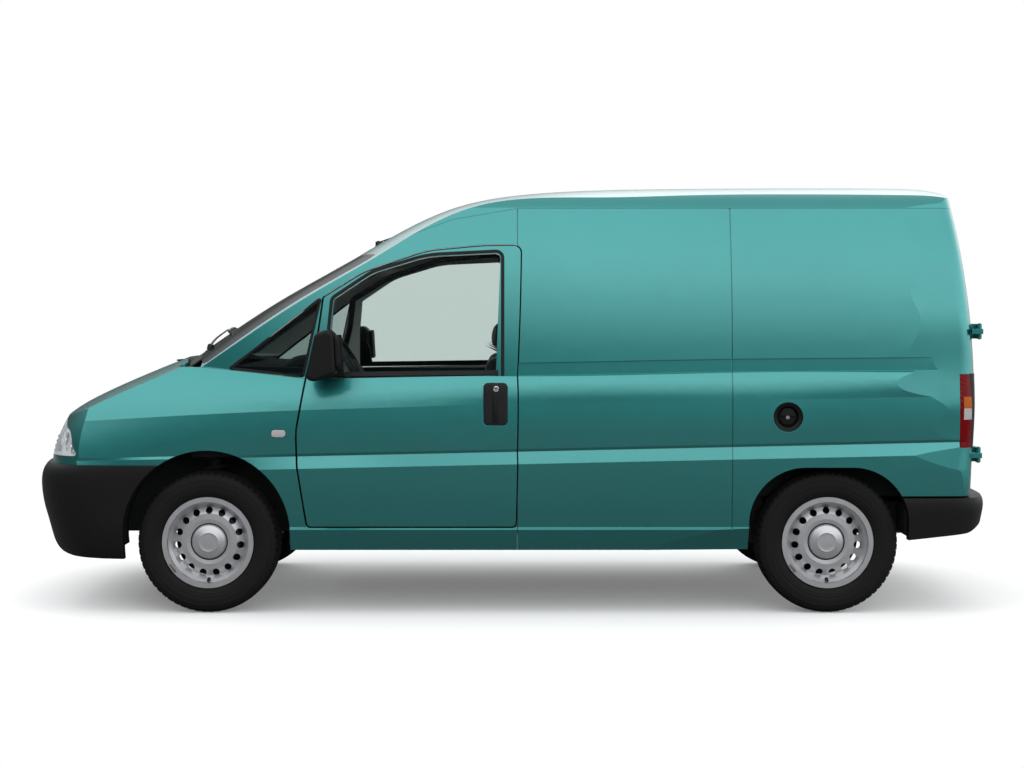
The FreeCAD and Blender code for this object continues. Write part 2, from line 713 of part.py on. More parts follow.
load_zone = box(-FAR, DOOR_REAR - 6, 300, FAR, 0, 3000)
load_side = shell.common(load_zone).common(below_gutter)
for tool in (rear_hole, lamp_hole, rear_arch, belt_recess, door_hole, side_seams,
             box(-FAR, REAR_AXLE, -FAR, FAR, 0, size("rear_body_bottom"))):
    load_side = load_side.cut(tool)
HINGE_X = REAR_AXLE - size("rear_door_hinge_back")
HINGE_Y = size("rear_door_hinge_half_width")
REAR_HINGES = (719.0, 1284.0)
REAR_HINGE_HALF = 34.0
REAR_LUG_HALF = 12.0
# How far the hinge's leaves reach forward of its pin, and in and out along the tail
LEAF_BACK = 5.0
POST_LEAF_REACH = 46.0
POST_LEAF_WIDTH = 52.0
DOOR_LEAF_REACH = 44.0
DOOR_LEAF_INNER = 96.0
DOOR_LEAF_OUTER = 36.0
DOOR_ARM_INNER = 60.0
DOOR_ARM_REACH = 7.0
PIN_OVERHANG = 3.0
PIN = size("hinge_pin_radius")
BOSS = size("hinge_boss_radius")
RUN = size("running_clearance")


def upright(radius, x, y, low, high):
    """A vertical cylinder."""
    return Part.makeCylinder(radius, high - low, Vector(x, y, low))


def rear_hinge_body(z):
    """The bracket and pin on the tail's corner post."""
    low, high = z - REAR_LUG_HALF + RUN, z + REAR_LUG_HALF - RUN
    leaf = box(HINGE_X - LEAF_BACK, HINGE_X + POST_LEAF_REACH, HINGE_Y, HINGE_Y + POST_LEAF_WIDTH, low, high)
    leaf = leaf.fuse(upright(BOSS, HINGE_X, HINGE_Y, low, high))
    reach = REAR_HINGE_HALF + PIN_OVERHANG
    return leaf.fuse(upright(PIN, HINGE_X, HINGE_Y, z - reach, z + reach))


def rear_hinge_door(z):
    """The two knuckles on the rear door, bored for the pin."""
    low, high = z - REAR_HINGE_HALF, z + REAR_HINGE_HALF
    leaf = box(HINGE_X - LEAF_BACK, HINGE_X + DOOR_LEAF_REACH, HINGE_Y - DOOR_LEAF_INNER,
               HINGE_Y - DOOR_LEAF_OUTER, low, high)
    arm = box(HINGE_X - BOSS, HINGE_X + DOOR_ARM_REACH, HINGE_Y - DOOR_ARM_INNER, HINGE_Y, low, high)
    whole = leaf.fuse(upright(BOSS, HINGE_X, HINGE_Y, low, high)).fuse(arm)
    gap = box(HINGE_X - 40, HINGE_X + 80, HINGE_Y - POST_LEAF_WIDTH - 10, HINGE_Y + 80,
              z - REAR_LUG_HALF, z + REAR_LUG_HALF)
    return whole.cut(gap).cut(upright(PIN + RUN, HINGE_X, HINGE_Y, z - 100, z + 100))


for z in REAR_HINGES:
    load_side = load_side.fuse(rear_hinge_body(z))
FILLER_X = REAR_AXLE + size("filler_from_rear_axle")
FILLER_Z = size("crease_height") + size("filler_above_crease")
FILLER_FACE = 886.0
FILLER_WALL = 6.0
FILLER_CAP_DEPTH = 40.0


def filler_disc(radius, face, depth):
    """A disc on the filler's axis, from its face inwards."""
    return Part.makeCylinder(radius, depth, Vector(FILLER_X, face, FILLER_Z), Vector(0, -1, 0))


feature("load_side_left", one(load_side.cut(filler_disc(size("filler_radius"), OUTSIDE, OUTSIDE - 820))))

right_side = mirrored(load_side)
slide_zone = prism(SLIDE_EDGE, "y", -OUTSIDE, -INSIDE)
slide_hole = prism(SLIDE_EDGE, "y", -OUTSIDE - 10, -INSIDE + 10, CLEAR)
feature("load_side_right", one(right_side.cut(slide_hole).cut(groove(SLIDE_EDGE))))
slide_panel = shell.common(slide_zone).cut(belt_recess).cut(groove(SLIDE_EDGE))
feature("sliding_door", one(slide_panel))

cup = filler_disc(size("filler_radius") - CLEAR / 2, FILLER_FACE, size("filler_depth"))
well_depth = size("filler_depth") - FILLER_WALL
cup = cup.cut(filler_disc(size("filler_radius") - FILLER_WALL, FILLER_FACE, well_depth))
cap = filler_disc(size("filler_cap_radius"), FILLER_FACE, FILLER_CAP_DEPTH)
feature("fuel_filler", one(cup.fuse(cap)))

# The frame from the sill up the front pillar to the roof, with the door's fixed hinges
SIDE_INNER = 300.0
ABOVE = 3000.0
cab_zone = box(DOOR_REAR - 6 + CLEAR, FRONT_AXLE + 39, SIDE_INNER, FAR, 0, ABOVE)
frame = shell.common(cab_zone).common(below_gutter).cut(windscreen_hole).cut(door_hole)
SCUTTLE_LINE = [
    (DOOR_FRONT - 40, 0), (DOOR_FRONT - 40, size("belt_height") - 12),
    (FRONT_AXLE - 94, size("belt_height") + 28), (FRONT_AXLE + 39, size("belt_height") + 40),
    (FAR, size("belt_height") + 40), (FAR, 0),
]
wing_zone = Part.Face(Part.makePolygon([Vector(x, -FAR, z) for x, z in SCUTTLE_LINE + SCUTTLE_LINE[:1]]))
wing_zone = wing_zone.extrude(Vector(0, 2 * FAR, 0))
wing_zone_low = wing_zone.copy()
wing_zone_low.translate(Vector(0, 0, -CLEAR))
SILL_FRONT = DOOR_FRONT - 46
sill_zone = box(DOOR_REAR - 100, SILL_FRONT, -FAR, FAR, 0, DOOR_BOTTOM)
frame = frame.cut(wing_zone.cut(sill_zone)).cut(prism(QUARTER_EDGE, "y", INSIDE, OUTSIDE, CLEAR))
DOOR_AXIS_X = DOOR_FRONT - size("door_hinge_back")
DOOR_AXIS_Y = size("body_half_width") - size("door_hinge_inset")
DOOR_HINGES = (size("door_hinge_low"), size("door_hinge_high"))
HINGE_HALF = size("hinge_height") / 2
DOOR_BOSS = 8.0
DOOR_PIN = 5.0
DOOR_PIN_OVERHANG = 14.0
HINGE_PLAY = 6.0
NECK_HALF = 7.0
NECK_INNER = 136.0
NECK_THICKNESS = 16.0
SLOT_BACK = 13.0
SLOT_INNER = 80.0
POST_LOW = size("sill_bottom") + 12
POST_HIGH = size("belt_height") + 14
POST_FOOT = 44.0
POST_INNER = 700.0
# Boxes of the hinge post: (rear x, front x, outer y, low z, high z), x from the door's front edge
POST_BOXES = [
    (-36, -3, 765, POST_LOW, POST_HIGH), (-111, -51, 860, POST_LOW, POST_LOW + POST_FOOT),
    (-81, -3, 830, POST_LOW, POST_LOW + POST_FOOT), (-20, 52, 815, POST_HIGH - 34, POST_HIGH),
]
POST_SOLIDS = [
    box(DOOR_FRONT + rear, DOOR_FRONT + front, POST_INNER, outer_y, low, high)
    for rear, front, outer_y, low, high in POST_BOXES
]
post = POST_SOLIDS[0].multiFuse(POST_SOLIDS[1:])


def door_hinge_body(z):
    """A gooseneck that reaches round the door's front edge to its pin."""
    low, high = z - HINGE_HALF + HINGE_PLAY, z + HINGE_HALF - HINGE_PLAY
    inner = DOOR_AXIS_Y - NECK_INNER
    neck = box(DOOR_AXIS_X - NECK_HALF, DOOR_AXIS_X + NECK_HALF, inner + 14, DOOR_AXIS_Y, low, high)
    neck = neck.fuse(box(DOOR_AXIS_X - NECK_HALF, DOOR_FRONT - 30, inner, inner + NECK_THICKNESS, low, high))
    neck = neck.fuse(upright(DOOR_BOSS, DOOR_AXIS_X, DOOR_AXIS_Y, low, high))
    reach = HINGE_HALF + DOOR_PIN_OVERHANG
    return neck.fuse(upright(DOOR_PIN, DOOR_AXIS_X, DOOR_AXIS_Y, z - reach, z + reach))


def door_hinge_pocket(z):
    """The slot in the door's inner front corner and the pin's holes above and below it."""
    low, high = z - HINGE_HALF, z + HINGE_HALF
    inner = DOOR_AXIS_Y - SLOT_INNER
    slot = box(DOOR_AXIS_X - SLOT_BACK, DOOR_FRONT + 60, inner, DOOR_AXIS_Y, low, high)
    slot = slot.fuse(box(DOOR_AXIS_X, DOOR_FRONT + 60, inner, DOOR_AXIS_Y + 6, low, high))
    slot = slot.fuse(upright(DOOR_BOSS + 2, DOOR_AXIS_X, DOOR_AXIS_Y, low, high))
    reach = HINGE_HALF + DOOR_PIN_OVERHANG + 1
    return slot.fuse(upright(DOOR_PIN + RUN, DOOR_AXIS_X, DOOR_AXIS_Y, z - reach, z + reach))


frame = frame.fuse(post)
for z in DOOR_HINGES:
    frame = frame.fuse(door_hinge_body(z))
frame = one(frame)
feature("cab_frame", pair(frame))

# Glass
screen = roof_loft(1.5, 0).cut(roof_loft(7, 0))
screen = screen.common(prism(WINDSCREEN_EDGE, "x", DOOR_FRONT - 500, FRONT_AXLE + 200))
feature("windscreen", one(screen.common(side_loft(1))))
glass_layer = side_loft(size("glass_inset")).cut(side_loft(size("glass_inset") + size("glass_thickness")))
quarter = one(side_loft(2).cut(side_loft(8)).common(quarter_hole))
feature("quarter_glasses", pair(quarter))

# Cab doors
door = shell.common(door_prism(0)).cut(prism(WINDOW_EDGE, "y", INSIDE, OUTSIDE, CLEAR)).cut(belt_recess)
for z in DOOR_HINGES:
    door = door.cut(door_hinge_pocket(z))
HANDLE_EDGE = [(DOOR_REAR + 38, 859, 20), (DOOR_REAR + 38, 1051, 20), (DOOR_REAR + 147, 1051, 20),
               (DOOR_REAR + 147, 859, 20)]
HANDLE_FLOOR = 866.0
handle_pocket = prism(HANDLE_EDGE, "y", HANDLE_FLOOR, OUTSIDE)
door = one(door.cut(handle_pocket))
door_glass = one(glass_layer.common(prism(WINDOW_EDGE, "y", INSIDE, OUTSIDE)))
BELT = size("belt_height")
MIRROR_ROUND = 18.0
MIRROR_CASE = [
    (DOOR_FRONT - 195, BELT + 16, 26), (DOOR_FRONT - 97, BELT - 18, 40), (DOOR_FRONT - 58, BELT - 6, 26),
    (DOOR_FRONT - 102, BELT + 196, 34), (DOOR_FRONT - 158, BELT + 216, 30),
    (DOOR_FRONT - 186, BELT + 192, 26),
]
MIRROR_FOOT = [
    (DOOR_FRONT - 216, BELT, 6), (DOOR_FRONT - 62, BELT, 6), (DOOR_FRONT - 132, BELT + 120, 40),
    (DOOR_FRONT - 176, BELT + 140, 12), (DOOR_FRONT - 200, BELT + 96, 60),
]
MIRROR_ARM = [
    (DOOR_FRONT - 170, BELT + 14, 12), (DOOR_FRONT - 86, BELT + 14, 12), (DOOR_FRONT - 96, BELT + 70, 14),
    (DOOR_FRONT - 160, BELT + 70, 14),
]
MIRROR_INNER = 906.0
MIRROR_OUTER = 1082.0
mirror_case = prism(MIRROR_CASE, "y", MIRROR_INNER, MIRROR_OUTER)
mirror_edges = [edge for edge in mirror_case.Edges if edge.BoundBox.YLength < 1]
mirror_case = mirror_case.makeFillet(MIRROR_ROUND, mirror_edges)
mirror_arm = prism(MIRROR_ARM, "y", 800, MIRROR_INNER + 34)
mirror_foot = prism(MIRROR_FOOT, "y", 820, 872)
mirror_shape = mirror_case.fuse(mirror_arm).fuse(mirror_foot).cut(side_loft(-RUN))
feature("cab_door_left", door)
feature("door_glass_left", door_glass)
feature("mirror_left", one(mirror_shape))
feature("cab_door_right", mirrored(door))
feature("door_glass_right", mirrored(door_glass))
feature("mirror_right", mirrored(one(mirror_shape)))

# Rear doors and lamps
rear_door = shell.common(rear_door_zone)
for z in REAR_HINGES:
    rear_door = rear_door.fuse(rear_hinge_door(z))
rear_door = one(rear_door)
feature("rear_door_left", rear_door)
feature("rear_door_right", mirrored(rear_door))
tail_lamp_zone = box(-FAR, LAMP_FRONT, 799, FAR, size("tail_lamp_bottom"), size("tail_lamp_top"))
feature("tail_lamps", pair(one(shell.common(tail_lamp_zone))))

# Nose
GRILLE_HALF = 506.0
wing = nose_shell.common(wing_zone_low).common(box(DOOR_REAR, FAR, 0, FAR, 0, 3000))
for tool in (front_arch, door_hole, bonnet_hole, behind_bonnet, headlamp_hole,
             box(FRONT_AXLE, FAR, -FAR, FAR, 0, size("bumper_top") + CLEAR),
             box(FRONT_AXLE + 300, FAR, -GRILLE_HALF, GRILLE_HALF, 0, ABOVE),
             box(0, SILL_FRONT + CLEAR, -FAR, FAR, 0, ABOVE)):
    wing = wing.cut(tool)
wing = one(wing)
feature("front_wings", pair(wing))
grille = nose_shell.common(box(FRONT_AXLE + 300, FAR, -GRILLE_HALF + CLEAR, GRILLE_HALF - CLEAR,
                               size("bumper_top") + CLEAR, BONNET_LOW - BONNET_GAP))
feature("grille", one(grille.cut(headlamp_hole)))
headlamp = nose_shell.common(prism(HEADLAMP_EDGE, "x", FRONT_AXLE + 480, FAR)).cut(bonnet_hole)
feature("headlamps", pair(one(headlamp)))
bonnet = nose_shell.common(prism(BONNET_PLAN, "z", BONNET_LOW, 1800))
BONNET_X = FRONT_AXLE + size("bonnet_hinge_from_axle")
BONNET_Z = size("bonnet_hinge_height")
BONNET_ARM_HALF = 8.0
BONNET_ARM = [
    (BONNET_X - 9, BONNET_Z - 9, 0), (BONNET_X + 130, BONNET_Z - 18, 0), (BONNET_X + 150, BONNET_Z + 20, 0),
    (BONNET_X, BONNET_Z + 9, 0),
]


def bonnet_bore(radius, half):
    """A cylinder on the bonnet's hinge line, centred on the left hinge."""
    start = Vector(BONNET_X, size("bonnet_hinge_half_width") - half, BONNET_Z)
    return Part.makeCylinder(radius, 2 * half, start, Vector(0, 1, 0))


arm = prism(BONNET_ARM, "y", size("bonnet_hinge_half_width") - BONNET_ARM_HALF,
            size("bonnet_hinge_half_width") + BONNET_ARM_HALF)
arm = arm.fuse(bonnet_bore(size("bonnet_boss_radius"), BONNET_ARM_HALF))
arm = arm.cut(bonnet_bore(size("bonnet_pin_radius") + RUN, BONNET_ARM_HALF + 12))
feature("bonnet", one(bonnet.fuse(arm).fuse(mirrored(arm))))

SCUTTLE_HALF = 700.0
scuttle = roof_loft(5, 0).cut(roof_loft(15, 0)).common(side_loft(60))
scuttle = scuttle.common(box(DOOR_FRONT + 100, FRONT_AXLE + 300, -SCUTTLE_HALF, SCUTTLE_HALF, 900, 1400))
scuttle = scuttle.cut(windscreen_hole).cut(bonnet_hole)
scuttle = scuttle.cut(pair(box(FRONT_AXLE + 40, FRONT_AXLE + 200, 575, 625, 900, 1400)))
# The cut for the bonnet's hinges leaves slivers at the ends; the panel is the piece across the middle
feature("scuttle_panel", max(scuttle.Solids, key=lambda solid: solid.Volume))


def plan_levels(levels, inset):
    """A loft of the front bumper's plan outlines at (height, how far back, how much narrower) levels."""
    half = size("body_half_width") + 6
    wires = [plan_wire(z, HALF_LENGTH - back, half - narrow, 560, FRONT_AXLE - 100, inset, BUMPER_SQUARENESS)
             for z, back, narrow in levels]
    return Part.makeLoft(wires, True, False)


BUMPER_LEVELS = [
    (size("bumper_bottom"), 110, 30), (280, 72, 18), (350, 46, 6), (470, 14, 1), (570, 0, 0), (636, 8, 0),
    (size("bumper_top"), 36, 3),
]
bumper = plan_levels(BUMPER_LEVELS, 0)
hollow_levels = [(size("bumper_bottom") - 20, 110, 30), *BUMPER_LEVELS[1:-1],
                 (size("bumper_top") + 20, 36, 3)]
hollow = plan_levels(hollow_levels, size("bumper_thickness"))
bumper = bumper.cut(hollow).cut(box(-FAR, FRONT_AXLE + 60, -FAR, FAR, 0, ABOVE)).cut(front_arch)
INTAKE = [(-430, 330, 30), (430, 330, 30), (430, 470, 30), (-430, 470, 30)]
PLATE_HALF = 260.0
PLATE_LOW = 500.0
PLATE_HIGH = 612.0
intake = prism(INTAKE, "x", FRONT_AXLE + 600, FAR)
plate_flat = box(HALF_LENGTH - 6, HALF_LENGTH + 50, -PLATE_HALF, PLATE_HALF, PLATE_LOW, PLATE_HIGH)
feature("front_bumper", one(bumper.cut(intake).cut(plate_flat)))


REAR_BUMPER_LEVELS = [(300, 46, 14), (370, 18, 4), (450, 4, 0), (500, 0, 0), (size("rear_bumper_top"), 10, 5)]
REAR_BUMPER_LENGTH = 300.0


def rear_bumper_loft(inset, overrun):
    """The rear bumper's outer form moved in by inset, its ends carried past top and bottom by overrun."""
    half = size("body_half_width") - 6
    levels = list(REAR_BUMPER_LEVELS)
    levels[0] = (levels[0][0] - overrun, *levels[0][1:])
    levels[-1] = (levels[-1][0] + overrun, *levels[-1][1:])
    wires = []
    for z, back, narrow in levels:
        wire = plan_wire(z, HALF_LENGTH - back, half - narrow, REAR_BUMPER_LENGTH, -REAR_AXLE - 200, inset,
                         REAR_BUMPER_SQUARENESS)
        wires.append(wire.mirror(Vector(0, 0, 0), Vector(1, 0, 0)))
    return Part.makeLoft(wires, True, False)


REAR_BUMPER_LOW = size("rear_bumper_bottom")
REAR_BUMPER_SWEEP = [
    (REAR_AXLE - 300, 0, 0), (REAR_AXLE - 300, REAR_BUMPER_LOW, 0),
    (REAR_AXLE - 640, REAR_BUMPER_LOW + 38, 100), (-HALF_LENGTH - 20, REAR_BUMPER_LOW + 115, 0),
    (-FAR, REAR_BUMPER_LOW + 115, 0), (-FAR, 0, 0),
]
REAR_BUMPER_FRONT = REAR_AXLE - 250
OVERRUN = 20.0
rear_bumper = rear_bumper_loft(0, 0).cut(rear_bumper_loft(size("rear_bumper_wall"), OVERRUN))
rear_bumper = rear_bumper.cut(prism(REAR_BUMPER_SWEEP, "y", -FAR, FAR)).cut(rear_arch)
rear_bumper = rear_bumper.common(box(-FAR, REAR_BUMPER_FRONT, -FAR, FAR, 0, ABOVE))
feature("rear_bumper", one(rear_bumper))


# Plain pieces, tied to the sheet
class Measure:
    """A size together with the expression that ties it to the sheet."""

    def __init__(self, value, text):
        self.value = float(value)
        self.text = text

    def join(self, other, sign, value):
        """A new measure from this one and a number or another measure."""
        text = other.text if isinstance(other, Measure) else repr(other)
        return Measure(value, f"({self.text} {sign} {text})")

    def __add__(self, other):
        return self.join(other, "+", self.value + plain(other))

    def __sub__(self, other):
        return self.join(other, "-", self.value - plain(other))

    def __mul__(self, other):
        return self.join(other, "*", self.value * plain(other))

    def __truediv__(self, other):
        return self.join(other, "/", self.value / plain(other))

    def __neg__(self):
        return Measure(-self.value, f"(-1 * {self.text})")


def plain(value):
    """The number in a measure, or the number itself."""
    return value.value if isinstance(value, Measure) else float(value)


def cell(alias):
    """A measure that reads one cell of the sheet."""
    return Measure(size(alias), f"{SHEET}.{alias}")


def difference(a, b):
    """a - b for measures or numbers."""
    if isinstance(a, Measure):
        return a - b
    if isinstance(b, Measure):
        return -b + a
    return a - b


def bind(item, prop, value):
    """Give a property its value, tied to the sheet when it is a measure."""
    item.setExpression(prop, value.text if isinstance(value, Measure) else repr(float(value)))


def place(item, x, y, z):
    """Put an object at a point, each coordinate tied to the sheet where it can be."""
    for axis, value in zip("xyz", (x, y, z)):
        bind(item, f"Placement.Base.{axis}", value)
    return item


def block(name, xs, ys, zs):
    """A box between its low and high x, y and z."""
    item = doc.addObject("Part::Box", name)
    for prop, (low, high) in (("Length", xs), ("Width", ys), ("Height", zs)):
        bind(item, prop, difference(high, low))
    return place(item, xs[0], ys[0], zs[0])


AXIS_TURNS = {
    "x": Rotation(Vector(0, 1, 0), 90),
    "y": Rotation(Vector(1, 0, 0), -90),
    "z": Rotation(),
}


def rod(name, radius, span, x, y, z):
    """A cylinder along the one axis whose place is given as a (low, high) span."""
    places = {"x": x, "y": y, "z": z}
    axis = next(key for key, value in places.items() if isinstance(value, tuple) and span == key)
    low, high = places[axis]
    item = doc.addObject("Part::Cylinder", name)
    bind(item, "Radius", radius)
    bind(item, "Height", difference(high, low))
    item.Placement = Placement(Vector(0, 0, 0), AXIS_TURNS[axis])
    places[axis] = low
    return place(item, places["x"], places["y"], places["z"])


def fused(name, items):
    """One object made of several that overlap."""
    item = doc.addObject("Part::MultiFuse", name)
    item.Shapes = items
    return item


def without(name, base, tools):
    """An object with other objects taken out of it."""
    item = doc.addObject("Part::Cut", name)
    item.Base = base
    item.Tool = tools[0] if len(tools) == 1 else fused(name + "_tools", tools)
    return item


def subpart(item, name):
    """Name a finished sub-part and keep it."""
    item.Label = name
    PARTS.append(item)
    return item


def origin_plane(body, role):
    """One of a body's own origin planes."""
    return next(plane for plane in body.Origin.OriginFeatures if plane.Role == role)


def loop_sketch(body, name, role, vertices):
    """A closed sketch of straight sides whose corners are tied to the sheet."""
    sketch = body.newObject("Sketcher::SketchObject", name)
    sketch.AttachmentSupport = (origin_plane(body, role), [""])
    sketch.MapMode = "FlatFace"
    corners = [Vector(plain(u), plain(v), 0) for u, v in vertices]
    for i, corner in enumerate(corners):
        sketch.addGeometry(Part.LineSegment(corner, corners[(i + 1) % len(corners)]))
    for i in range(len(corners)):
        sketch.addConstraint(Sketcher.Constraint("Coincident", i, 2, (i + 1) % len(corners), 1))
    for i, (u, v) in enumerate(vertices):
        for kind, value in (("DistanceX", u), ("DistanceY", v)):
            index = sketch.addConstraint(Sketcher.Constraint(kind, -1, 1, i, 1, plain(value)))
            bind(sketch, f"Constraints[{index}]", value)
    return sketch


def revolved(name, vertices):
    """A body turned about its own Y axis from (radius, y) corners."""
    body = doc.addObject("PartDesign::Body", name)
    sketch = loop_sketch(body, name + "_section", "XY_Plane", vertices)
    turn = body.newObject("PartDesign::Revolution", name + "_turn")
    turn.Profile = sketch
    turn.ReferenceAxis = (sketch, ["V_Axis"])
    turn.Angle = 360
    return body


def moved(body, x, y, z, turn=Rotation()):
    """Put a body at a point, tied to the sheet."""
    body.Placement = Placement(Vector(0, 0, 0), turn)
    return place(body, x, y, z)


# Wheels
front_x = (cell("rear_overhang") + cell("wheelbase") - cell("front_overhang")) / 2
rear_x = front_x - cell("wheelbase")
track = cell("track_half_width")
hub_z = cell("tyre_radius")
HALF_TURN = Rotation(Vector(0, 0, 1), 180)
CORNERS = (
    ("front_left", front_x, 1), ("front_right", front_x, -1),
    ("rear_left", rear_x, 1), ("rear_right", rear_x, -1),
)


def tyre_section():
    """Corners of the tyre's section as (radius, distance out from the wheel's middle)."""
    half = cell("tyre_width") / 2
    tread = cell("tyre_radius")
    bead = cell("rim_width") / 2 - (6 + RUN)
    flange = cell("rim_flange_radius")
    outside = [
        (cell("rim_seat_radius") + RUN, bead), (flange + 3, bead), (flange + 20, half - 7),
        (flange + 38, half - 1), (tread - 58, half), (tread - 34, half - 4), (tread - 16, half - 12),
        (tread - 6, half - 22), (tread, half - 40),
    ]
    inside = [
        (tread - 14, half - 44), (tread - 26, half - 24), (tread - 58, half - 12),
        (flange + 20, half - 19), (flange, bead - 14), (cell("rim_seat_radius") + RUN, bead - 20),
    ]
    ring = outside + [(r, -y) for r, y in reversed(outside)]
    return ring + [(r, -y) for r, y in reversed(inside)] + inside


def rim_section():
    """Corners of the rim's section, disc and hub included, as (radius, distance out)."""
    edge = cell("rim_width") / 2
    flange = cell("rim_flange_radius")
    seat = cell("rim_seat_radius")
    bore = cell("stub_radius") + RUN
    cap = cell("hub_cap_radius")
    hub = cell("hub_radius")
    barrel_out = [
        (flange, edge), (flange, edge - 6), (seat, edge - 6), (seat - 1, edge - 28), (seat - 14, edge - 36),
        (seat - 14, -edge + 62), (seat, -edge + 28), (seat, -edge + 6), (flange, -edge + 6), (flange, -edge),
    ]
    barrel_in = [(seat - 5, -edge), (seat - 5, -edge + 26), (seat - 20, -edge + 58), (seat - 20, 34)]
    disc_in = [
        (cap + 74, 26), (cap + 48, 40), (cap + 22, 42), (cap + 2, 32), (hub, 32), (hub, -30),
        (bore, -30), (bore, 36),
    ]
    disc_out = [
        (Measure(0, "0"), 36), (Measure(0, "0"), 66), (cap - 30, 62), (cap - 6, 54), (cap, 44),
        (cap + 22, 47), (cap + 48, 45), (cap + 76, 32), (seat - 19, 52), (seat - 6, edge - 22),
        (seat - 4, edge),
    ]
    return barrel_out + barrel_in + disc_in + disc_out


def make_rim(corner, x, side):
    """A pressed rim with its ring of round holes."""
    body = revolved("Rim_" + corner, rim_section())
    holes = body.newObject("Sketcher::SketchObject", "Rim_hole_" + corner)
    holes.AttachmentSupport = (origin_plane(body, "XZ_Plane"), [""])
    holes.MapMode = "FlatFace"
    circle = Part.Circle(Vector(0, size("wheel_hole_circle"), 0), Vector(0, 0, 1), size("wheel_hole_radius"))
    holes.addGeometry(circle)
    radius = holes.addConstraint(Sketcher.Constraint("Radius", 0, size("wheel_hole_radius")))
    bind(holes, f"Constraints[{radius}]", cell("wheel_hole_radius"))
    height = holes.addConstraint(Sketcher.Constraint("DistanceY", -1, 1, 0, 3, size("wheel_hole_circle")))
    bind(holes, f"Constraints[{height}]", cell("wheel_hole_circle"))
    holes.addConstraint(Sketcher.Constraint("PointOnObject", 0, 3, -2))
    pocket = body.newObject("PartDesign::Pocket", "Rim_pocket_" + corner)
    pocket.Profile = holes
    pocket.Type = "Length"
    pocket.Length = 90
    pattern = body.newObject("PartDesign::PolarPattern", "Rim_holes_" + corner)
    pattern.Originals = [pocket]
    pattern.Axis = (holes, ["N_Axis"])
    pattern.Angle = 360
    bind(pattern, "Occurrences", cell("wheel_hole_count"))
    body.Tip = pattern
    return moved(body, x, track * side, hub_z, Rotation() if side > 0 else HALF_TURN)


for corner, x, side in CORNERS:
    tyre = revolved("Tyre_" + corner, tyre_section())
    subpart(moved(tyre, x, track * side, hub_z), "tyre_" + corner)
    subpart(make_rim(corner, x, side), "rim_" + corner)


# Front suspension: each knuckle turns on a pin below and round a strut above
def mirror_y(low, high, side):
    """A (low, high) span across the van, on the left or the right side."""
    return (low, high) if side > 0 else (difference(0, high), difference(0, low))


kingpin_y = track - cell("kingpin_inset")
stub = cell("stub_radius")
LOWER_PIN = cell("lower_pin_radius")
STRUT = cell("strut_radius")
for name, side in (("left", 1), ("right", -1)):
    king = kingpin_y * side
    lower = rod(f"Knuckle_lower_{name}", LOWER_PIN + 14, "z", front_x, king, (hub_z - 78, hub_z - 42))
    upper = rod(f"Knuckle_upper_{name}", STRUT + 11, "z", front_x, king, (hub_z + 88, hub_z + 146))
    carrier = block(f"Knuckle_web_{name}", (front_x - 22, front_x + 22),
                    mirror_y(kingpin_y + 15, kingpin_y + 68, side), (hub_z - 78, hub_z + 146))
    axle = rod(f"Knuckle_axle_{name}", stub, "y", front_x, mirror_y(kingpin_y + 60, track + 34, side), hub_z)
    arm = block(f"Knuckle_arm_{name}", (front_x - 118, front_x - 10),
                mirror_y(kingpin_y + 18, kingpin_y + 42, side), (hub_z - 70, hub_z - 52))
    solid = fused(f"Knuckle_solid_{name}", [lower, upper, carrier, axle, arm])
    pin_hole = rod(f"Knuckle_pin_hole_{name}", LOWER_PIN + RUN, "z", front_x, king, (hub_z - 90, hub_z - 30))
    strut_hole = rod(f"Knuckle_strut_hole_{name}", STRUT + RUN, "z", front_x, king, (hub_z + 70, hub_z + 160))
    subpart(without(f"Knuckle_{name}", solid, [pin_hole, strut_hole]), f"knuckle_{name}")

members = [block("Subframe_beam", (front_x - 72, front_x + 68), (-460, 460), (hub_z - 72, 329.7))]
for name, side in (("left", 1), ("right", -1)):
    king = kingpin_y * side
    members.append(block(f"Lower_arm_{name}", (front_x - 22, front_x + 22),
                         mirror_y(380, kingpin_y + 14, side), (hub_z - 132, hub_z - 84)))
    members.append(block(f"Lower_arm_root_{name}", (front_x - 60, front_x + 60), mirror_y(360, 440, side),
                         (hub_z - 132, hub_z - 60)))
    members.append(rod(f"Lower_pin_{name}", LOWER_PIN, "z", front_x, king, (hub_z - 90, hub_z - 44)))
subpart(fused("Front_subframe", members), "front_subframe")

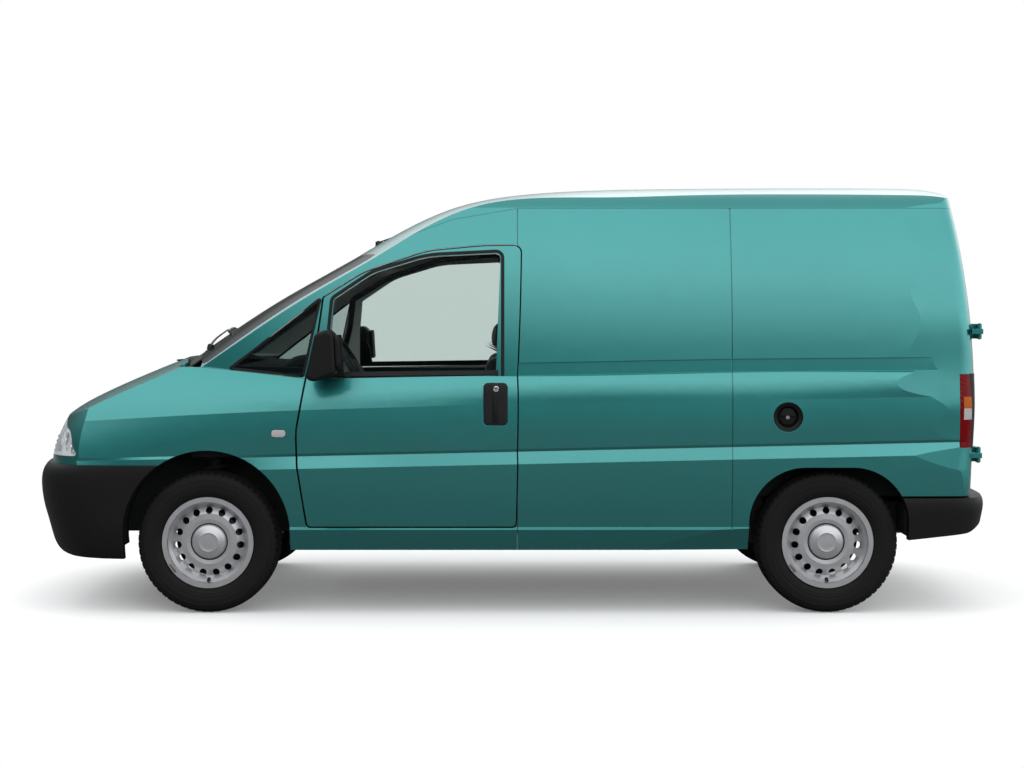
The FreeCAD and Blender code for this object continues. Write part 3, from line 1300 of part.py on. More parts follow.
FIREWALL = (front_x - cell("firewall_back"), front_x - cell("firewall_back") + cell("firewall_thickness"))
WING_INNER = cell("inner_wing_half_width")
TOWER = (front_x - cell("tower_half_length"), front_x + cell("tower_half_length"))
TOWER_LOW = cell("tower_height")
PLATE = 16.0
HINGE_LINE = front_x + cell("bonnet_hinge_from_axle")
hinge_y = cell("bonnet_hinge_half_width")
ENGINE_FLOOR = cell("rail_bottom") + 0.3
members = [
    block("Firewall", FIREWALL, (-WING_INNER, WING_INNER), (392.5, 1090)),
    block("Radiator_low", (front_x + cell("radiator_front"), front_x + 690), (-560, 560), (330, 380)),
    block("Radiator_high", (front_x + cell("radiator_front"), front_x + 680), (-500, 500), (690, 730)),
    block("Radiator", (front_x + 645, front_x + 680), (-380, 380), (370, 700)),
]
for name, side in (("left", 1), ("right", -1)):
    king = kingpin_y * side
    members += [
        block(f"Front_rail_{name}", (FIREWALL[0], front_x + 690),
              mirror_y(cell("rail_inner"), cell("rail_outer"), side), (cell("rail_bottom"), cell("rail_top"))),
        block(f"Inner_wing_{name}", (FIREWALL[0], front_x + 300),
              mirror_y(WING_INNER - PLATE, WING_INNER, side), (440, 960)),
        block(f"Inner_wing_front_{name}", (front_x + 290, front_x + 660),
              mirror_y(WING_INNER - PLATE, WING_INNER, side), (440, 800)),
        block(f"Upper_firewall_{name}", FIREWALL, mirror_y(460, 770, side), (752, 1060)),
        block(f"Upper_rail_{name}", (FIREWALL[0], front_x + 400), mirror_y(725, 765, side),
              (cell("upper_rail_height"), cell("upper_rail_height") + 30)),
        block(f"Tower_{name}", TOWER, mirror_y(460, cell("tower_outer"), side), (TOWER_LOW, TOWER_LOW + 20)),
        block(f"Tower_wall_{name}", TOWER, mirror_y(cell("tower_outer") - PLATE, cell("tower_outer"), side),
              (TOWER_LOW, cell("upper_rail_height") + 10)),
        rod(f"Strut_{name}", STRUT, "z", front_x, king, (hub_z + 80, TOWER_LOW + 6)),
        rod(f"Spring_{name}", cell("spring_radius"), "z", front_x, king, (hub_z + 240, TOWER_LOW + 6)),
        block(f"Hinge_foot_{name}", (HINGE_LINE - 28, HINGE_LINE + 22),
              mirror_y(460, hinge_y + 24, side), (946, 962)),
    ]
    for inner in (-24, 12):
        members.append(block(f"Hinge_cheek_{inner + 24}_{name}", (HINGE_LINE - 14, HINGE_LINE + 14),
                             mirror_y(hinge_y + inner, hinge_y + inner + 12, side), (950, 1090)))
    members.append(rod(f"Hinge_pin_{name}", cell("bonnet_pin_radius"), "y", HINGE_LINE,
                       mirror_y(hinge_y - 23, hinge_y + 23, side), cell("bonnet_hinge_height")))
subpart(fused("Front_structure", members), "front_structure")

engine_x = front_x + cell("engine_from_axle")
engine_half = cell("engine_half_width")
subpart(block("Engine", (engine_x, engine_x + cell("engine_length")), (-engine_half, engine_half),
              (ENGINE_FLOOR, cell("engine_top"))), "engine_block")

UNDER_FLOOR = cell("load_floor_top") - cell("load_floor_thickness") - 0.3
beam_x = rear_x + cell("beam_ahead_of_axle")
members = [rod("Axle_beam", cell("beam_radius"), "y", beam_x, (-605, 605), hub_z + 10)]
for name, side in (("left", 1), ("right", -1)):
    members += [
        block(f"Trailing_arm_{name}", (rear_x - 40, rear_x + 320),
              mirror_y(cell("arm_inner"), cell("arm_outer"), side), (hub_z - 30, hub_z + 34)),
        block(f"Arm_mount_{name}", (rear_x + 270, rear_x + 320), mirror_y(580, cell("arm_outer"), side),
              (hub_z, UNDER_FLOOR)),
        rod(f"Rear_stub_{name}", stub, "y", rear_x, mirror_y(600, track + 34, side), hub_z),
    ]
subpart(fused("Rear_axle", members), "rear_axle")

tank_x = rear_x + cell("tank_rear_from_axle")
tank_half = cell("tank_half_width")
tank = block("Tank_block", (tank_x, tank_x + cell("tank_length")), (-tank_half, tank_half),
             (cell("tank_bottom"), UNDER_FLOOR))
tank_round = doc.addObject("Part::Fillet", "Tank_round")
tank_round.Base = tank
doc.recompute()
ROUNDED = size("tank_rounding")
tank_round.Edges = [(i + 1, ROUNDED, ROUNDED) for i, edge in enumerate(tank.Shape.Edges)
                    if edge.BoundBox.ZMax < size("tank_bottom") + 10 or edge.BoundBox.ZLength > 100]
subpart(tank_round, "fuel_tank")

PIPE = cell("pipe_radius")
pipe_y = -cell("pipe_offset")
silencer_y = -cell("silencer_offset")
members = [
    rod("Exhaust_front", PIPE, "x", (rear_x - 220, front_x - 84), pipe_y, 250),
    rod("Exhaust_back", PIPE, "x", (rear_x - 678, rear_x - 560), pipe_y, 262),
    rod("Silencer", cell("silencer_radius"), "x", (rear_x - 580, rear_x - 200), silencer_y, 300),
    block("Silencer_hanger", (rear_x - 420, rear_x - 390), (silencer_y - 12, silencer_y + 12),
          (360, UNDER_FLOOR)),
    block("Pipe_hanger", (front_x - 700, front_x - 676), (pipe_y - 9, pipe_y + 9), (260, 361.7)),
]
subpart(fused("Exhaust", members), "exhaust")

# Cabin
steer_turn = Rotation(Vector(0, 1, 0), -size("steering_rake"))
STEER = (front_x - cell("steering_from_front_axle"), cell("steering_offset"), cell("steering_height"))
SHAFT = cell("steering_shaft_radius")
HUB_DROP = -30.0
SPOKE_START = 46.0
SPOKE_THICKNESS = 12.0
SPOKE_LOW = -8.0
SPOKE_TURNS = (90, 270, 0)
ring = doc.addObject("Part::Torus", "Steering_ring")
bind(ring, "Radius1", cell("steering_ring_radius"))
bind(ring, "Radius2", cell("steering_ring_section"))
hub_boss = doc.addObject("Part::Cylinder", "Steering_hub")
bind(hub_boss, "Radius", cell("steering_hub_radius"))
bind(hub_boss, "Height", cell("steering_hub_height"))
hub_boss.Placement = Placement(Vector(0, 0, HUB_DROP), Rotation())
spokes = []
for index, angle in enumerate(SPOKE_TURNS):
    spoke = doc.addObject("Part::Box", f"Spoke_{index}")
    bind(spoke, "Length", cell("steering_ring_radius") - (SPOKE_START + 2))
    bind(spoke, "Width", cell("steering_spoke_width"))
    bind(spoke, "Height", SPOKE_THICKNESS)
    turn = Rotation(Vector(0, 0, 1), angle)
    corner = Vector(SPOKE_START, -size("steering_spoke_width") / 2, SPOKE_LOW)
    spoke.Placement = Placement(turn.multVec(corner), turn)
    spokes.append(spoke)
wheel_body = fused("Steering_solid", [ring, hub_boss] + spokes)
shaft_hole = doc.addObject("Part::Cylinder", "Steering_bore")
bind(shaft_hole, "Radius", SHAFT + RUN)
bind(shaft_hole, "Height", 40)
shaft_hole.Placement = Placement(Vector(0, 0, -40), Rotation())
steering = without("Steering_wheel", wheel_body, [shaft_hole])
steering.Placement = Placement(Vector(0, 0, 0), steer_turn)
place(steering, *STEER)
subpart(steering, "steering_wheel")

DASH = [
    (front_x.value - 372, 640, 0), (front_x.value - 402, 640, 20), (front_x.value - 560, 700, 40),
    (front_x.value - 602, 880, 40), (front_x.value - 560, 1050, 60), (front_x.value - 470, 1112, 60),
    (front_x.value - 90, 1122, 8), (front_x.value - 90, 1091, 8), (front_x.value - 362.4, 1090.5, 0),
]
dash = prism(DASH, "y", -690, 690)
steer_axis = steer_turn.multVec(Vector(0, 0, 1))
steer_centre = Vector(*(plain(value) for value in STEER))
column = Part.makeCylinder(34, 190, steer_centre - steer_axis * 232, steer_axis)
shaft = Part.makeCylinder(SHAFT.value, 90, steer_centre - steer_axis * 98, steer_axis)
feature("dashboard", one(dash.fuse(column).fuse(shaft)))

SEAT = [
    (120, 392.4, 0), (140, 560, 0), (80, 640, 60), (-40, 1180, 40), (-26, 1330, 24), (40, 1330, 24),
    (64, 1170, 60), (150, 730, 60), (520, 730, 40), (560, 612, 16), (500, 560, 0), (480, 392.4, 0),
]
seat_points = [(x + DOOR_REAR + size("seat_from_door_rear"), z, r) for x, z, r in SEAT]
driver_seat = prism(seat_points, "y", size("seat_inner"), size("seat_outer"))
feature("seats", pair(driver_seat))

BULKHEAD_FRONT = DOOR_REAR - size("bulkhead_back")
wall = box(BULKHEAD_FRONT - size("bulkhead_thickness"), BULKHEAD_FRONT, -FAR, FAR,
           size("load_floor_top") + 0.5, size("bulkhead_top"))
feature("cab_bulkhead", one(wall.common(side_loft(size("wall_thickness") + CLEAR))))

# Floor
LASHING_X = (-1900.0, -400.0)
LASHING_Y = size("lashing_half_width")
CAB_TOP = size("cab_floor_top")
FLOOR_LOW = CAB_TOP - size("cab_floor_thickness")
LOAD_TOP = size("load_floor_top")
LOAD_LOW = LOAD_TOP - size("load_floor_thickness")
FIREWALL_X = FRONT_AXLE - size("firewall_back")
FLOOR_STEP = DOOR_REAR - 60
BEAM_DEPTH = 90.0
CROSS_BEAM = (REAR_AXLE - 672, REAR_AXLE - 610)
CROSS_BEAM_HALF = 660.0
BUMPER_CORNER = (REAR_AXLE - 540, 800.0)
inside_walls = side_loft(size("wall_thickness") + CLEAR).common(tail_loft(size("tail_thickness") + CLEAR))
floor_pan = box(FLOOR_STEP, DOOR_FRONT - 62, -FAR, FAR, FLOOR_LOW, CAB_TOP)
foot_half = size("inner_wing_half_width")
foot_well = box(DOOR_FRONT - 80, FIREWALL_X - CLEAR, -foot_half, foot_half, FLOOR_LOW, CAB_TOP)
floor_pan = floor_pan.fuse(foot_well)
floor_pan = floor_pan.fuse(box(FLOOR_STEP, DOOR_REAR - 30, -FAR, FAR, FLOOR_LOW, LOAD_TOP))
floor_pan = floor_pan.fuse(box(-FAR, DOOR_REAR - 40, -FAR, FAR, LOAD_LOW, LOAD_TOP))
HOUSING_HALF = size("rear_arch_half_length")
HOUSING_INNER = size("wheel_housing_half_width")
HOUSING_WALL = size("wheel_housing_thickness")
HOUSING_TOP = size("wheel_housing_top")
HOUSING_REACH = HOUSING_HALF + HOUSING_WALL
housing = box(REAR_AXLE - HOUSING_REACH, REAR_AXLE + HOUSING_REACH, HOUSING_INNER, size("body_half_width"), LOAD_LOW,
              HOUSING_TOP)
wheel_room = box(REAR_AXLE - HOUSING_HALF, REAR_AXLE + HOUSING_HALF, HOUSING_INNER + HOUSING_WALL,
                 size("body_half_width") + 100, 0, HOUSING_TOP - HOUSING_WALL)
housing = housing.cut(wheel_room).common(inside_walls)
housing_seat = box(REAR_AXLE - HOUSING_REACH - CLEAR, REAR_AXLE + HOUSING_REACH + CLEAR, HOUSING_INNER - CLEAR, FAR, 0,
                   HOUSING_TOP)
floor_pan = floor_pan.cut(pair(housing_seat)).common(inside_walls)
post_room = box(DOOR_FRONT - 112, DOOR_FRONT, POST_INNER - 1, size("body_half_width"), 250, 400)
floor_pan = floor_pan.cut(pair(post_room))
beam = box(REAR_AXLE - 640, DOOR_REAR - 40, 430, 490, LOAD_LOW - BEAM_DEPTH, LOAD_LOW + 10)
floor_pan = floor_pan.fuse(beam).fuse(mirrored(beam))
floor_pan = floor_pan.fuse(box(*CROSS_BEAM, -CROSS_BEAM_HALF, CROSS_BEAM_HALF, 400, LOAD_LOW + 10))
behind_bumper = box(-FAR, REAR_BUMPER_FRONT, -FAR, FAR, 0, size("rear_bumper_top") + CLEAR)
floor_pan = floor_pan.cut(behind_bumper.cut(rear_bumper_loft(size("rear_bumper_wall") + CLEAR, OVERRUN)))
floor_pan = floor_pan.cut(pair(box(-FAR, BUMPER_CORNER[0], BUMPER_CORNER[1], FAR, 0, size("rear_bumper_top") + CLEAR)))
for x in LASHING_X:
    for y in (-LASHING_Y, LASHING_Y):
        bore = Part.makeCylinder(size("lashing_hole_radius"), 200, Vector(x, y, LOAD_LOW - 50))
        floor_pan = floor_pan.cut(bore)
feature("floor_pan", Part.makeCompound(floor_pan.Solids + housing.Solids + mirrored(housing).Solids))


def check(items):
    """Stop if any object failed or any shape is empty or broken."""
    failed = [item.Name for item in doc.Objects if {"Invalid", "Error"} & set(item.State)]
    for item in items:
        if item.Shape.isNull() or not item.Shape.isValid() or not item.Shape.Solids:
            failed.append(item.Label)
    if failed:
        raise RuntimeError("failed: " + ", ".join(failed))


doc.recompute()
check(PARTS)
os.makedirs("parts", exist_ok=True)
for item in PARTS:
    item.Shape.exportStep(os.path.join("parts", item.Label + ".step"))
    print(item.Label, len(item.Shape.Solids), round(item.Shape.Volume / 1e6, 2))
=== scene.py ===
"""Looks of a small panel van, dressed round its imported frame."""

from __future__ import annotations

import json
import logging
import math
from dataclasses import dataclass, field
from enum import Enum
from typing import Callable, Sequence

import bmesh
import bpy
from mathutils import Matrix, Vector
from mathutils.bvhtree import BVHTree

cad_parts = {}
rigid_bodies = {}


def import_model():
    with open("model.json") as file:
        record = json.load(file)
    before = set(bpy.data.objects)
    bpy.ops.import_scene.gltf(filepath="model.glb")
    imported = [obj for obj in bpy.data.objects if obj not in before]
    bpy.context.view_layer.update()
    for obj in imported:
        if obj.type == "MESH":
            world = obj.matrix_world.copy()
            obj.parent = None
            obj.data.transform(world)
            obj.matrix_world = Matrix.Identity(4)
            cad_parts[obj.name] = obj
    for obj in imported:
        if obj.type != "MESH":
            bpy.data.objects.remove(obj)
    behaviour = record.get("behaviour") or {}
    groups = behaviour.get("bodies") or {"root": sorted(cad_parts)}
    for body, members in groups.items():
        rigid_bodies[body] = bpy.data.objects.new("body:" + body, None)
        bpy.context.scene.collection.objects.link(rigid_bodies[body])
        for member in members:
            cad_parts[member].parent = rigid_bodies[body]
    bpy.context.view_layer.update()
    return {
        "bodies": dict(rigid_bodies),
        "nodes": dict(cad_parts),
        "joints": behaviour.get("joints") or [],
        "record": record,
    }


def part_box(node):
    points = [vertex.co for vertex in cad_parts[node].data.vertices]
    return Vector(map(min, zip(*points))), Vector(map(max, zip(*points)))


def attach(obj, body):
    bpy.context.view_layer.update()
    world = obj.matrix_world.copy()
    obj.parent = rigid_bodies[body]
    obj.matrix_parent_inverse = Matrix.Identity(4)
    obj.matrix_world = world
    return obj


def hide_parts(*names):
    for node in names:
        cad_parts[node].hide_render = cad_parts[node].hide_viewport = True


log = logging.getLogger("panel_van")

Colour = tuple[float, float, float]
Corner = tuple[float, float, float]
Material = bpy.types.Material
Place = Sequence[float]
Point = tuple[float, float]

MM = 0.001

# Lengths below which two corners count as one: on a cut, in a spun form and in a node's loose triangles
HAIR = 1e-7
SPUN_GAP = 1e-6
NODE_GAP = 1e-5

# The point that the cab's lining looks at, in millimetres
CAB_MIDDLE = (450, 0, 1000)

# Frames of the cloth simulation
SETTLING_FRAMES = 20

FRAME: dict = {}


@dataclass(frozen=True)
class Throw:
    """A way to throw points along one axis onto the van, from a start in millimetres."""

    axis: str
    start: float
    sign: int

    @property
    def aim(self) -> Vector:
        """The throw's direction."""
        return Vector([self.sign * (letter == self.axis) for letter in "xyz"])


FROM_AHEAD = Throw("x", 2600.0, -1)
FROM_BEHIND = Throw("x", -2600.0, 1)
FROM_SEATS = Throw("x", 300.0, 1)
ONTO_ROOF = Throw("z", 2600.0, -1)
ONTO_WINDSCREEN = Throw("z", 2000.0, -1)
ONTO_BONNET = Throw("z", 1500.0, -1)
ONTO_FLOOR = Throw("z", 900.0, -1)
UNDER_ROOF = Throw("z", 1300.0, 1)
UNDER_WINDSCREEN = Throw("z", 1000.0, 1)


class Side(Enum):
    """The two sides of the van, with the sign of Y on each."""

    LEFT = 1
    RIGHT = -1

    @property
    def word(self) -> str:
        """The side's name as the nodes spell it."""
        return self.name.lower()

    @property
    def outside(self) -> Throw:
        """The throw onto this side from beside the van."""
        return Throw("y", 1300.0 * self.value, -self.value)

    @property
    def inside(self) -> Throw:
        """The throw onto this side from the van's middle."""
        return Throw("y", 0.0, self.value)


class Axle(Enum):
    """The two axles."""

    FRONT = "front"
    REAR = "rear"


# Shader building

class Wire:
    """A value in a node tree: a socket that can be added to and scaled."""

    def __init__(self, nodes: "Nodes", socket: bpy.types.NodeSocket) -> None:
        """Args: nodes: the tree's builder. socket: the output that carries the value."""
        self.nodes = nodes
        self.socket = socket

    def _maths(self, operation: str, *values: "Wire | float") -> "Wire":
        """The result of one Math node with an operation, its sockets filled in order."""
        return self.nodes.node("ShaderNodeMath", {"operation": operation}, dict(enumerate(values)))

    def __add__(self, other: "Wire | float") -> "Wire":
        """self + other."""
        return self._maths("ADD", self, other)

    def __mul__(self, other: "Wire | float") -> "Wire":
        """self * other."""
        return self._maths("MULTIPLY", self, other)

    __radd__ = __add__
    __rmul__ = __mul__


class Nodes:
    """Adds nodes to one tree."""

    def __init__(self, tree: bpy.types.NodeTree) -> None:
        """Args: tree: the tree."""
        self.tree = tree

    def node(self, kind: str, settings: dict, inputs: dict, output: int | str = 0) -> Wire:
        """Add any node.

        Args:
            kind: the node's type.
            settings: its properties, set before its sockets; "stops" fills a colour ramp.
            inputs: values or wires by socket name or number.
            output: the output to hand back.
        Returns:
            That output as a wire.
        """
        made = self.tree.nodes.new(kind)
        for key, value in settings.items():
            if key == "stops":
                self._fill_ramp(made.color_ramp, value)
            else:
                setattr(made, key, value)
        for key, value in inputs.items():
            self.connect(made.inputs[key], value)
        return Wire(self, made.outputs[output])

    @staticmethod
    def _fill_ramp(ramp: bpy.types.ColorRamp, stops: Sequence[tuple[float, Sequence[float]]]) -> None:
        """Give a colour ramp its stops.

        Args:
            ramp: the ramp.
            stops: (position, colour) pairs from left to right.
        """
        for index, (position, colour) in enumerate(stops):
            stop = ramp.elements[index] if index < 2 else ramp.elements.new(position)
            stop.position = position
            stop.color = (*colour[:3], 1.0)

    def connect(self, socket: bpy.types.NodeSocket, value: "Wire | float | Sequence[float]") -> None:
        """Link a wire to a socket, or set the socket's own value.

        Args:
            socket: the input.
            value: a wire, a number, or a colour or vector.
        """
        if isinstance(value, Wire):
            self.tree.links.new(value.socket, socket)
        elif isinstance(value, (int, float)):
            socket.default_value = value
        else:
            opaque = len(socket.default_value) == 4 and len(value) == 3
            socket.default_value = (*value, 1.0) if opaque else value

    def show(self, factor: Wire, first: Wire, second: Wire, output: str) -> None:
        """Put out a blend of two shaders; a factor of zero is the first, one the second."""
        mixed = self.node("ShaderNodeMixShader", {}, {0: factor, 1: first, 2: second})
        self.tree.links.new(mixed.socket, self.tree.nodes[output].inputs["Surface"])


class Graph(Nodes):
    """Builds one node material round a Principled shader."""

    def __init__(self, name: str) -> None:
        """Args: name: the material's name."""
        self.material = bpy.data.materials.new(name)
        self.material.use_nodes = True
        super().__init__(self.material.node_tree)
        self.shader = self.tree.nodes["Principled BSDF"]

    def set(self, **sockets: "Wire | float | Sequence[float]") -> None:
        """Set or link the Principled shader's sockets, named with underscores for spaces."""
        for name, value in sockets.items():
            self.connect(self.shader.inputs[name.replace("_", " ")], value)

    def cover(self, factor: Wire, under: Wire) -> None:
        """Lay the Principled shader over another one, which it hides where the factor is one."""
        self.show(factor, under, Wire(self, self.shader.outputs[0]), "Material Output")

    def place(self) -> Wire:
        """The point's place on the van, in metres."""
        return self.node("ShaderNodeTexCoord", {}, {}, "Object")

    def noise(self, scale: float, detail: float = 2.0, rough: float = 0.5) -> Wire:
        """Cloudy values round one half, by patches to a metre, octaves and their roughness."""
        return self.node("ShaderNodeTexNoise", {}, {"Vector": self.place(), "Scale": scale, "Detail": detail,
                                                    "Roughness": rough})

    def mix(self, factor: "Wire | float", first: "Wire | Colour", second: "Wire | Colour") -> Wire:
        """A blend of two colours; a factor of zero is the first, one the second."""
        return self.node("ShaderNodeMix", {"data_type": "RGBA"}, {0: factor, 6: first, 7: second}, 2)

    def bump(self, height: Wire, strength: float, distance: float, normal: Wire | None = None) -> Wire:
        """Relief from a height.

        Args:
            height: the height's value.
            strength: how much of it shows.
            distance: the height of one unit, in metres.
            normal: a normal to build on.
        Returns:
            The normal.
        """
        inputs: dict = {"Height": height, "Strength": strength, "Distance": distance}
        if normal is not None:
            inputs["Normal"] = normal
        return self.node("ShaderNodeBump", {}, inputs)

    def soft_edge(self, radius: float) -> Wire:
        """A normal that rounds the sheet's edges to a radius in metres."""
        return self.node("ShaderNodeBevel", {"samples": 6}, {"Radius": radius})


# Finishes

@dataclass(frozen=True)
class Paint:
    """Metallic body paint under a clear coat."""

    name: str = "teal_metallic_paint"
    face: Colour = (0.050, 0.340, 0.330)
    shade: Colour = (0.020, 0.230, 0.225)
    metallic: float = 0.92
    roughness: float = 0.33
    dirt: float = 0.06
    coat_roughness: float = 0.12
    coat_ior: float = 1.5
    flake: float = 900.0
    flake_relief: float = 0.012
    edge: float = 3.2 * MM

    def material(self) -> Material:
        """Build the paint.

        Returns:
            The material.
        """
        graph = Graph(self.name)
        flakes = graph.noise(self.flake, 0.0)
        cloud = graph.noise(1.3, 2)
        dirt = graph.noise(14, 4, 0.6)
        colour = graph.mix(flakes * 0.5 + cloud * 0.3, self.shade, self.face)
        soft = graph.soft_edge(self.edge)
        graph.set(Base_Color=colour, Metallic=self.metallic, Roughness=dirt * self.dirt + self.roughness,
                  Coat_Weight=1.0, Coat_Roughness=self.coat_roughness, Coat_IOR=self.coat_ior,
                  Normal=graph.bump(flakes, self.flake_relief, 0.4 * MM, soft))
        return graph.material


@dataclass(frozen=True)
class Grained:
    """Moulded plastic with a fine leather-like grain."""

    name: str
    colour: Colour = (0.0035, 0.0035, 0.0038)
    roughness: float = 0.55
    grain: float = 420.0
    relief: float = 0.25
    specular: float = 0.22
    spread: float = 0.14
    edge: float = 2.5 * MM

    def material(self) -> Material:
        """Build the plastic.

        Returns:
            The material.
        """
        graph = Graph(self.name)
        cells = graph.node("ShaderNodeTexVoronoi", {"feature": "DISTANCE_TO_EDGE"},
                           {"Vector": graph.place(), "Scale": self.grain}, "Distance")
        cloud = graph.noise(5, 3)
        lighter = tuple(min(1.0, c * 1.3 + 0.0015) for c in self.colour)
        graph.set(Base_Color=graph.mix(cloud, self.colour, lighter),
                  Roughness=cloud * self.spread + (self.roughness - self.spread / 2),
                  Specular_IOR_Level=self.specular,
                  Normal=graph.bump(cells, self.relief, 0.6 * MM, graph.soft_edge(self.edge)))
        return graph.material


@dataclass(frozen=True)
class Plain:
    """An even finish with faint variation in colour and gloss."""

    name: str
    colour: Colour
    roughness: float = 0.4
    metallic: float = 0.0
    coat: float = 0.0
    variation: float = 0.25
    scale: float = 30.0
    spread: float = 0.15
    gloss: float = 0.07

    def material(self) -> Material:
        """Build the finish.

        Returns:
            The material.
        """
        graph = Graph(self.name)
        cloud = graph.noise(self.scale, 4.0, 0.6)
        darker = tuple(c * (1.0 - self.variation) for c in self.colour)
        graph.set(Base_Color=graph.mix(cloud, darker, self.colour), Metallic=self.metallic,
                  Coat_Weight=self.coat, Roughness=cloud * self.spread + (self.roughness - self.gloss))
        return graph.material


@dataclass(frozen=True)
class Rubber:
    """Black rubber, duller and greyer where it is dusty."""

    name: str = "black_rubber"
    colour: Colour = (0.005, 0.005, 0.005)
    dust: Colour = (0.010, 0.010, 0.009)
    roughness: float = 0.7
    specular: float = 0.18
    spread: float = 0.2

    def material(self) -> Material:
        """Build the rubber.

        Returns:
            The material.
        """
        graph = Graph(self.name)
        dust = graph.noise(18, 5, 0.65)
        fine = graph.noise(900, 2)
        graph.set(Base_Color=graph.mix(dust, self.colour, self.dust), Specular_IOR_Level=self.specular,
                  Roughness=dust * self.spread + (self.roughness - self.spread / 2),
                  Normal=graph.bump(fine, 0.15, 0.3 * MM))
        return graph.material


@dataclass(frozen=True)
class Glazing:
    """Tinted window glass, seen through and reflecting."""

    name: str = "tinted_glass"
    tint: Colour = (0.864, 0.903, 0.892)
    ior: float = 1.45

    def material(self) -> Material:
        """Build the glass from a clear and a glossy layer.

        Returns:
            The material.
        """
        graph = Graph(self.name)
        film = graph.noise(6, 3)
        graph.set(Base_Color=(0.02, 0.03, 0.03), Roughness=film * 0.03 + 0.02, Coat_Weight=0.5)
        clear = graph.node("ShaderNodeBsdfTransparent", {}, {"Color": self.tint})
        graph.cover(graph.node("ShaderNodeFresnel", {}, {"IOR": self.ior}), clear)
        return graph.material


@dataclass(frozen=True)
class Lens:
    """A clear or coloured lamp cover with moulded ribs."""

    name: str
    colour: Colour
    share: float = 0.35
    rib: float = 0.0
    specular: float = 0.2
    coat: float = 0.08
    ior: float = 1.5

    def material(self) -> Material:
        """Build the cover.

        Returns:
            The material.
        """
        graph = Graph(self.name)
        ribs = graph.node("ShaderNodeTexWave", {"bands_direction": "Y", "wave_profile": "SIN"},
                          {"Vector": graph.place(), "Scale": max(self.rib, 1.0)}, "Fac")
        cloud = graph.noise(40, 2)
        graph.set(Base_Color=self.colour, Roughness=cloud * 0.06 + 0.06, Specular_IOR_Level=self.specular,
                  Coat_Weight=self.coat, Normal=graph.bump(ribs, 0.5 if self.rib else 0.0, 1.5 * MM))
        seen = tuple(min(1.0, c * 1.25 + 0.02) for c in self.colour)
        clear = graph.node("ShaderNodeBsdfTransparent", {}, {"Color": seen})
        fresnel = graph.node("ShaderNodeFresnel", {}, {"IOR": self.ior})
        graph.cover(fresnel * (1.0 - self.share) + self.share, clear)
        return graph.material


@dataclass(frozen=True)
class Cloth:
    """Woven seat cloth with a small pattern in its weave."""

    name: str = "seat_cloth"
    colour: Colour = (0.030, 0.034, 0.042)
    thread: Colour = (0.070, 0.076, 0.090)
    pitch: float = 380.0
    sheen: float = 0.4

    def material(self) -> Material:
        """Build the cloth.

        Returns:
            The material.
        """
        graph = Graph(self.name)
        weave = graph.node("ShaderNodeTexChecker", {}, {"Vector": graph.place(), "Scale": self.pitch}, "Fac")
        cloud = graph.noise(60, 3)
        graph.set(Base_Color=graph.mix(weave * 0.6 + cloud * 0.3, self.colour, self.thread), Roughness=0.9,
                  Sheen_Weight=self.sheen, Normal=graph.bump(weave, 0.3, 0.6 * MM))
        return graph.material


def made_from(finish: Paint | Grained | Plain | Rubber | Glazing | Lens | Cloth) -> Material:
    """A workshop's field: the finish's material, built when the workshop is opened."""
    return field(default_factory=finish.material)


@dataclass
class Workshop:
    """Every finish of the van, each made once."""

    paint: Material = made_from(Paint())
    bumper: Material = made_from(Grained("bumper_plastic"))
    trim: Material = made_from(Grained("smooth_black_trim", (0.010, 0.010, 0.011), 0.38, 600.0, 0.08))
    seal: Material = made_from(Rubber("window_rubber", (0.008, 0.008, 0.008), (0.016, 0.016, 0.016), 0.5))
    tyre: Material = made_from(Rubber("tyre_rubber"))
    glass: Material = made_from(Glazing())
    wheel: Material = made_from(Plain("silver_wheel_paint", (0.58, 0.58, 0.60), 0.36, 0.75, 0.4, 0.12))
    lining: Material = made_from(Grained("pale_grey_lining", (0.66, 0.66, 0.64), 0.7, 300.0, 0.15))
    cabin: Material = made_from(Grained("cabin_plastic", (0.030, 0.031, 0.034), 0.65))
    cloth: Material = made_from(Cloth())
    side_cloth: Material = made_from(Cloth("plain_side_cloth", (0.022, 0.024, 0.028), (0.040, 0.043, 0.050),
                                           620.0))
    plate: Material = made_from(Plain("blank_plate_white", (0.72, 0.72, 0.70), 0.35, 0.0, 0.3, 0.06))
    under: Material = made_from(Plain("underbody_coat", (0.012, 0.016, 0.016), 0.75))
    cast: Material = made_from(Plain("cast_metal", (0.10, 0.095, 0.09), 0.6, 0.8))
    pipe: Material = made_from(Plain("dull_steel", (0.28, 0.27, 0.26), 0.5, 0.9))
    rust: Material = made_from(Plain("exhaust_steel", (0.06, 0.055, 0.05), 0.6, 0.7))
    dark_glass: Material = made_from(Glazing("quarter_glass", (0.64, 0.70, 0.69)))
    chrome: Material = made_from(Plain("bright_reflector", (0.88, 0.88, 0.9), 0.12, 1.0, 0.0, 0.03))
    clear: Material = made_from(Lens("clear_lens", (0.92, 0.94, 0.95), 0.10))
    red: Material = made_from(Lens("red_lens", (0.24, 0.003, 0.005), 0.6, 120.0))
    amber: Material = made_from(Lens("amber_lens", (0.75, 0.17, 0.02), 0.55, 120.0))
    white: Material = made_from(Lens("white_lens", (0.75, 0.75, 0.74), 0.55, 120.0))


# Modelling tools

def vec(*values: float) -> Vector:
    """A vector in metres from millimetres."""
    return Vector(values) * MM


def lifted(axis: str, along: float, u: float, v: float) -> Vector:
    """The point in metres at a place along one axis and at (u, v) on the other two, in millimetres."""
    return vec(*{"x": (along, u, v), "y": (u, along, v), "z": (u, v, along)}[axis])


def poured(source: bmesh.types.BMesh, target: bmesh.types.BMesh) -> None:
    """Add a copy of one working mesh to another."""
    mesh = bpy.data.meshes.new("part")
    source.to_mesh(mesh)
    target.from_mesh(mesh)
    bpy.data.meshes.remove(mesh)


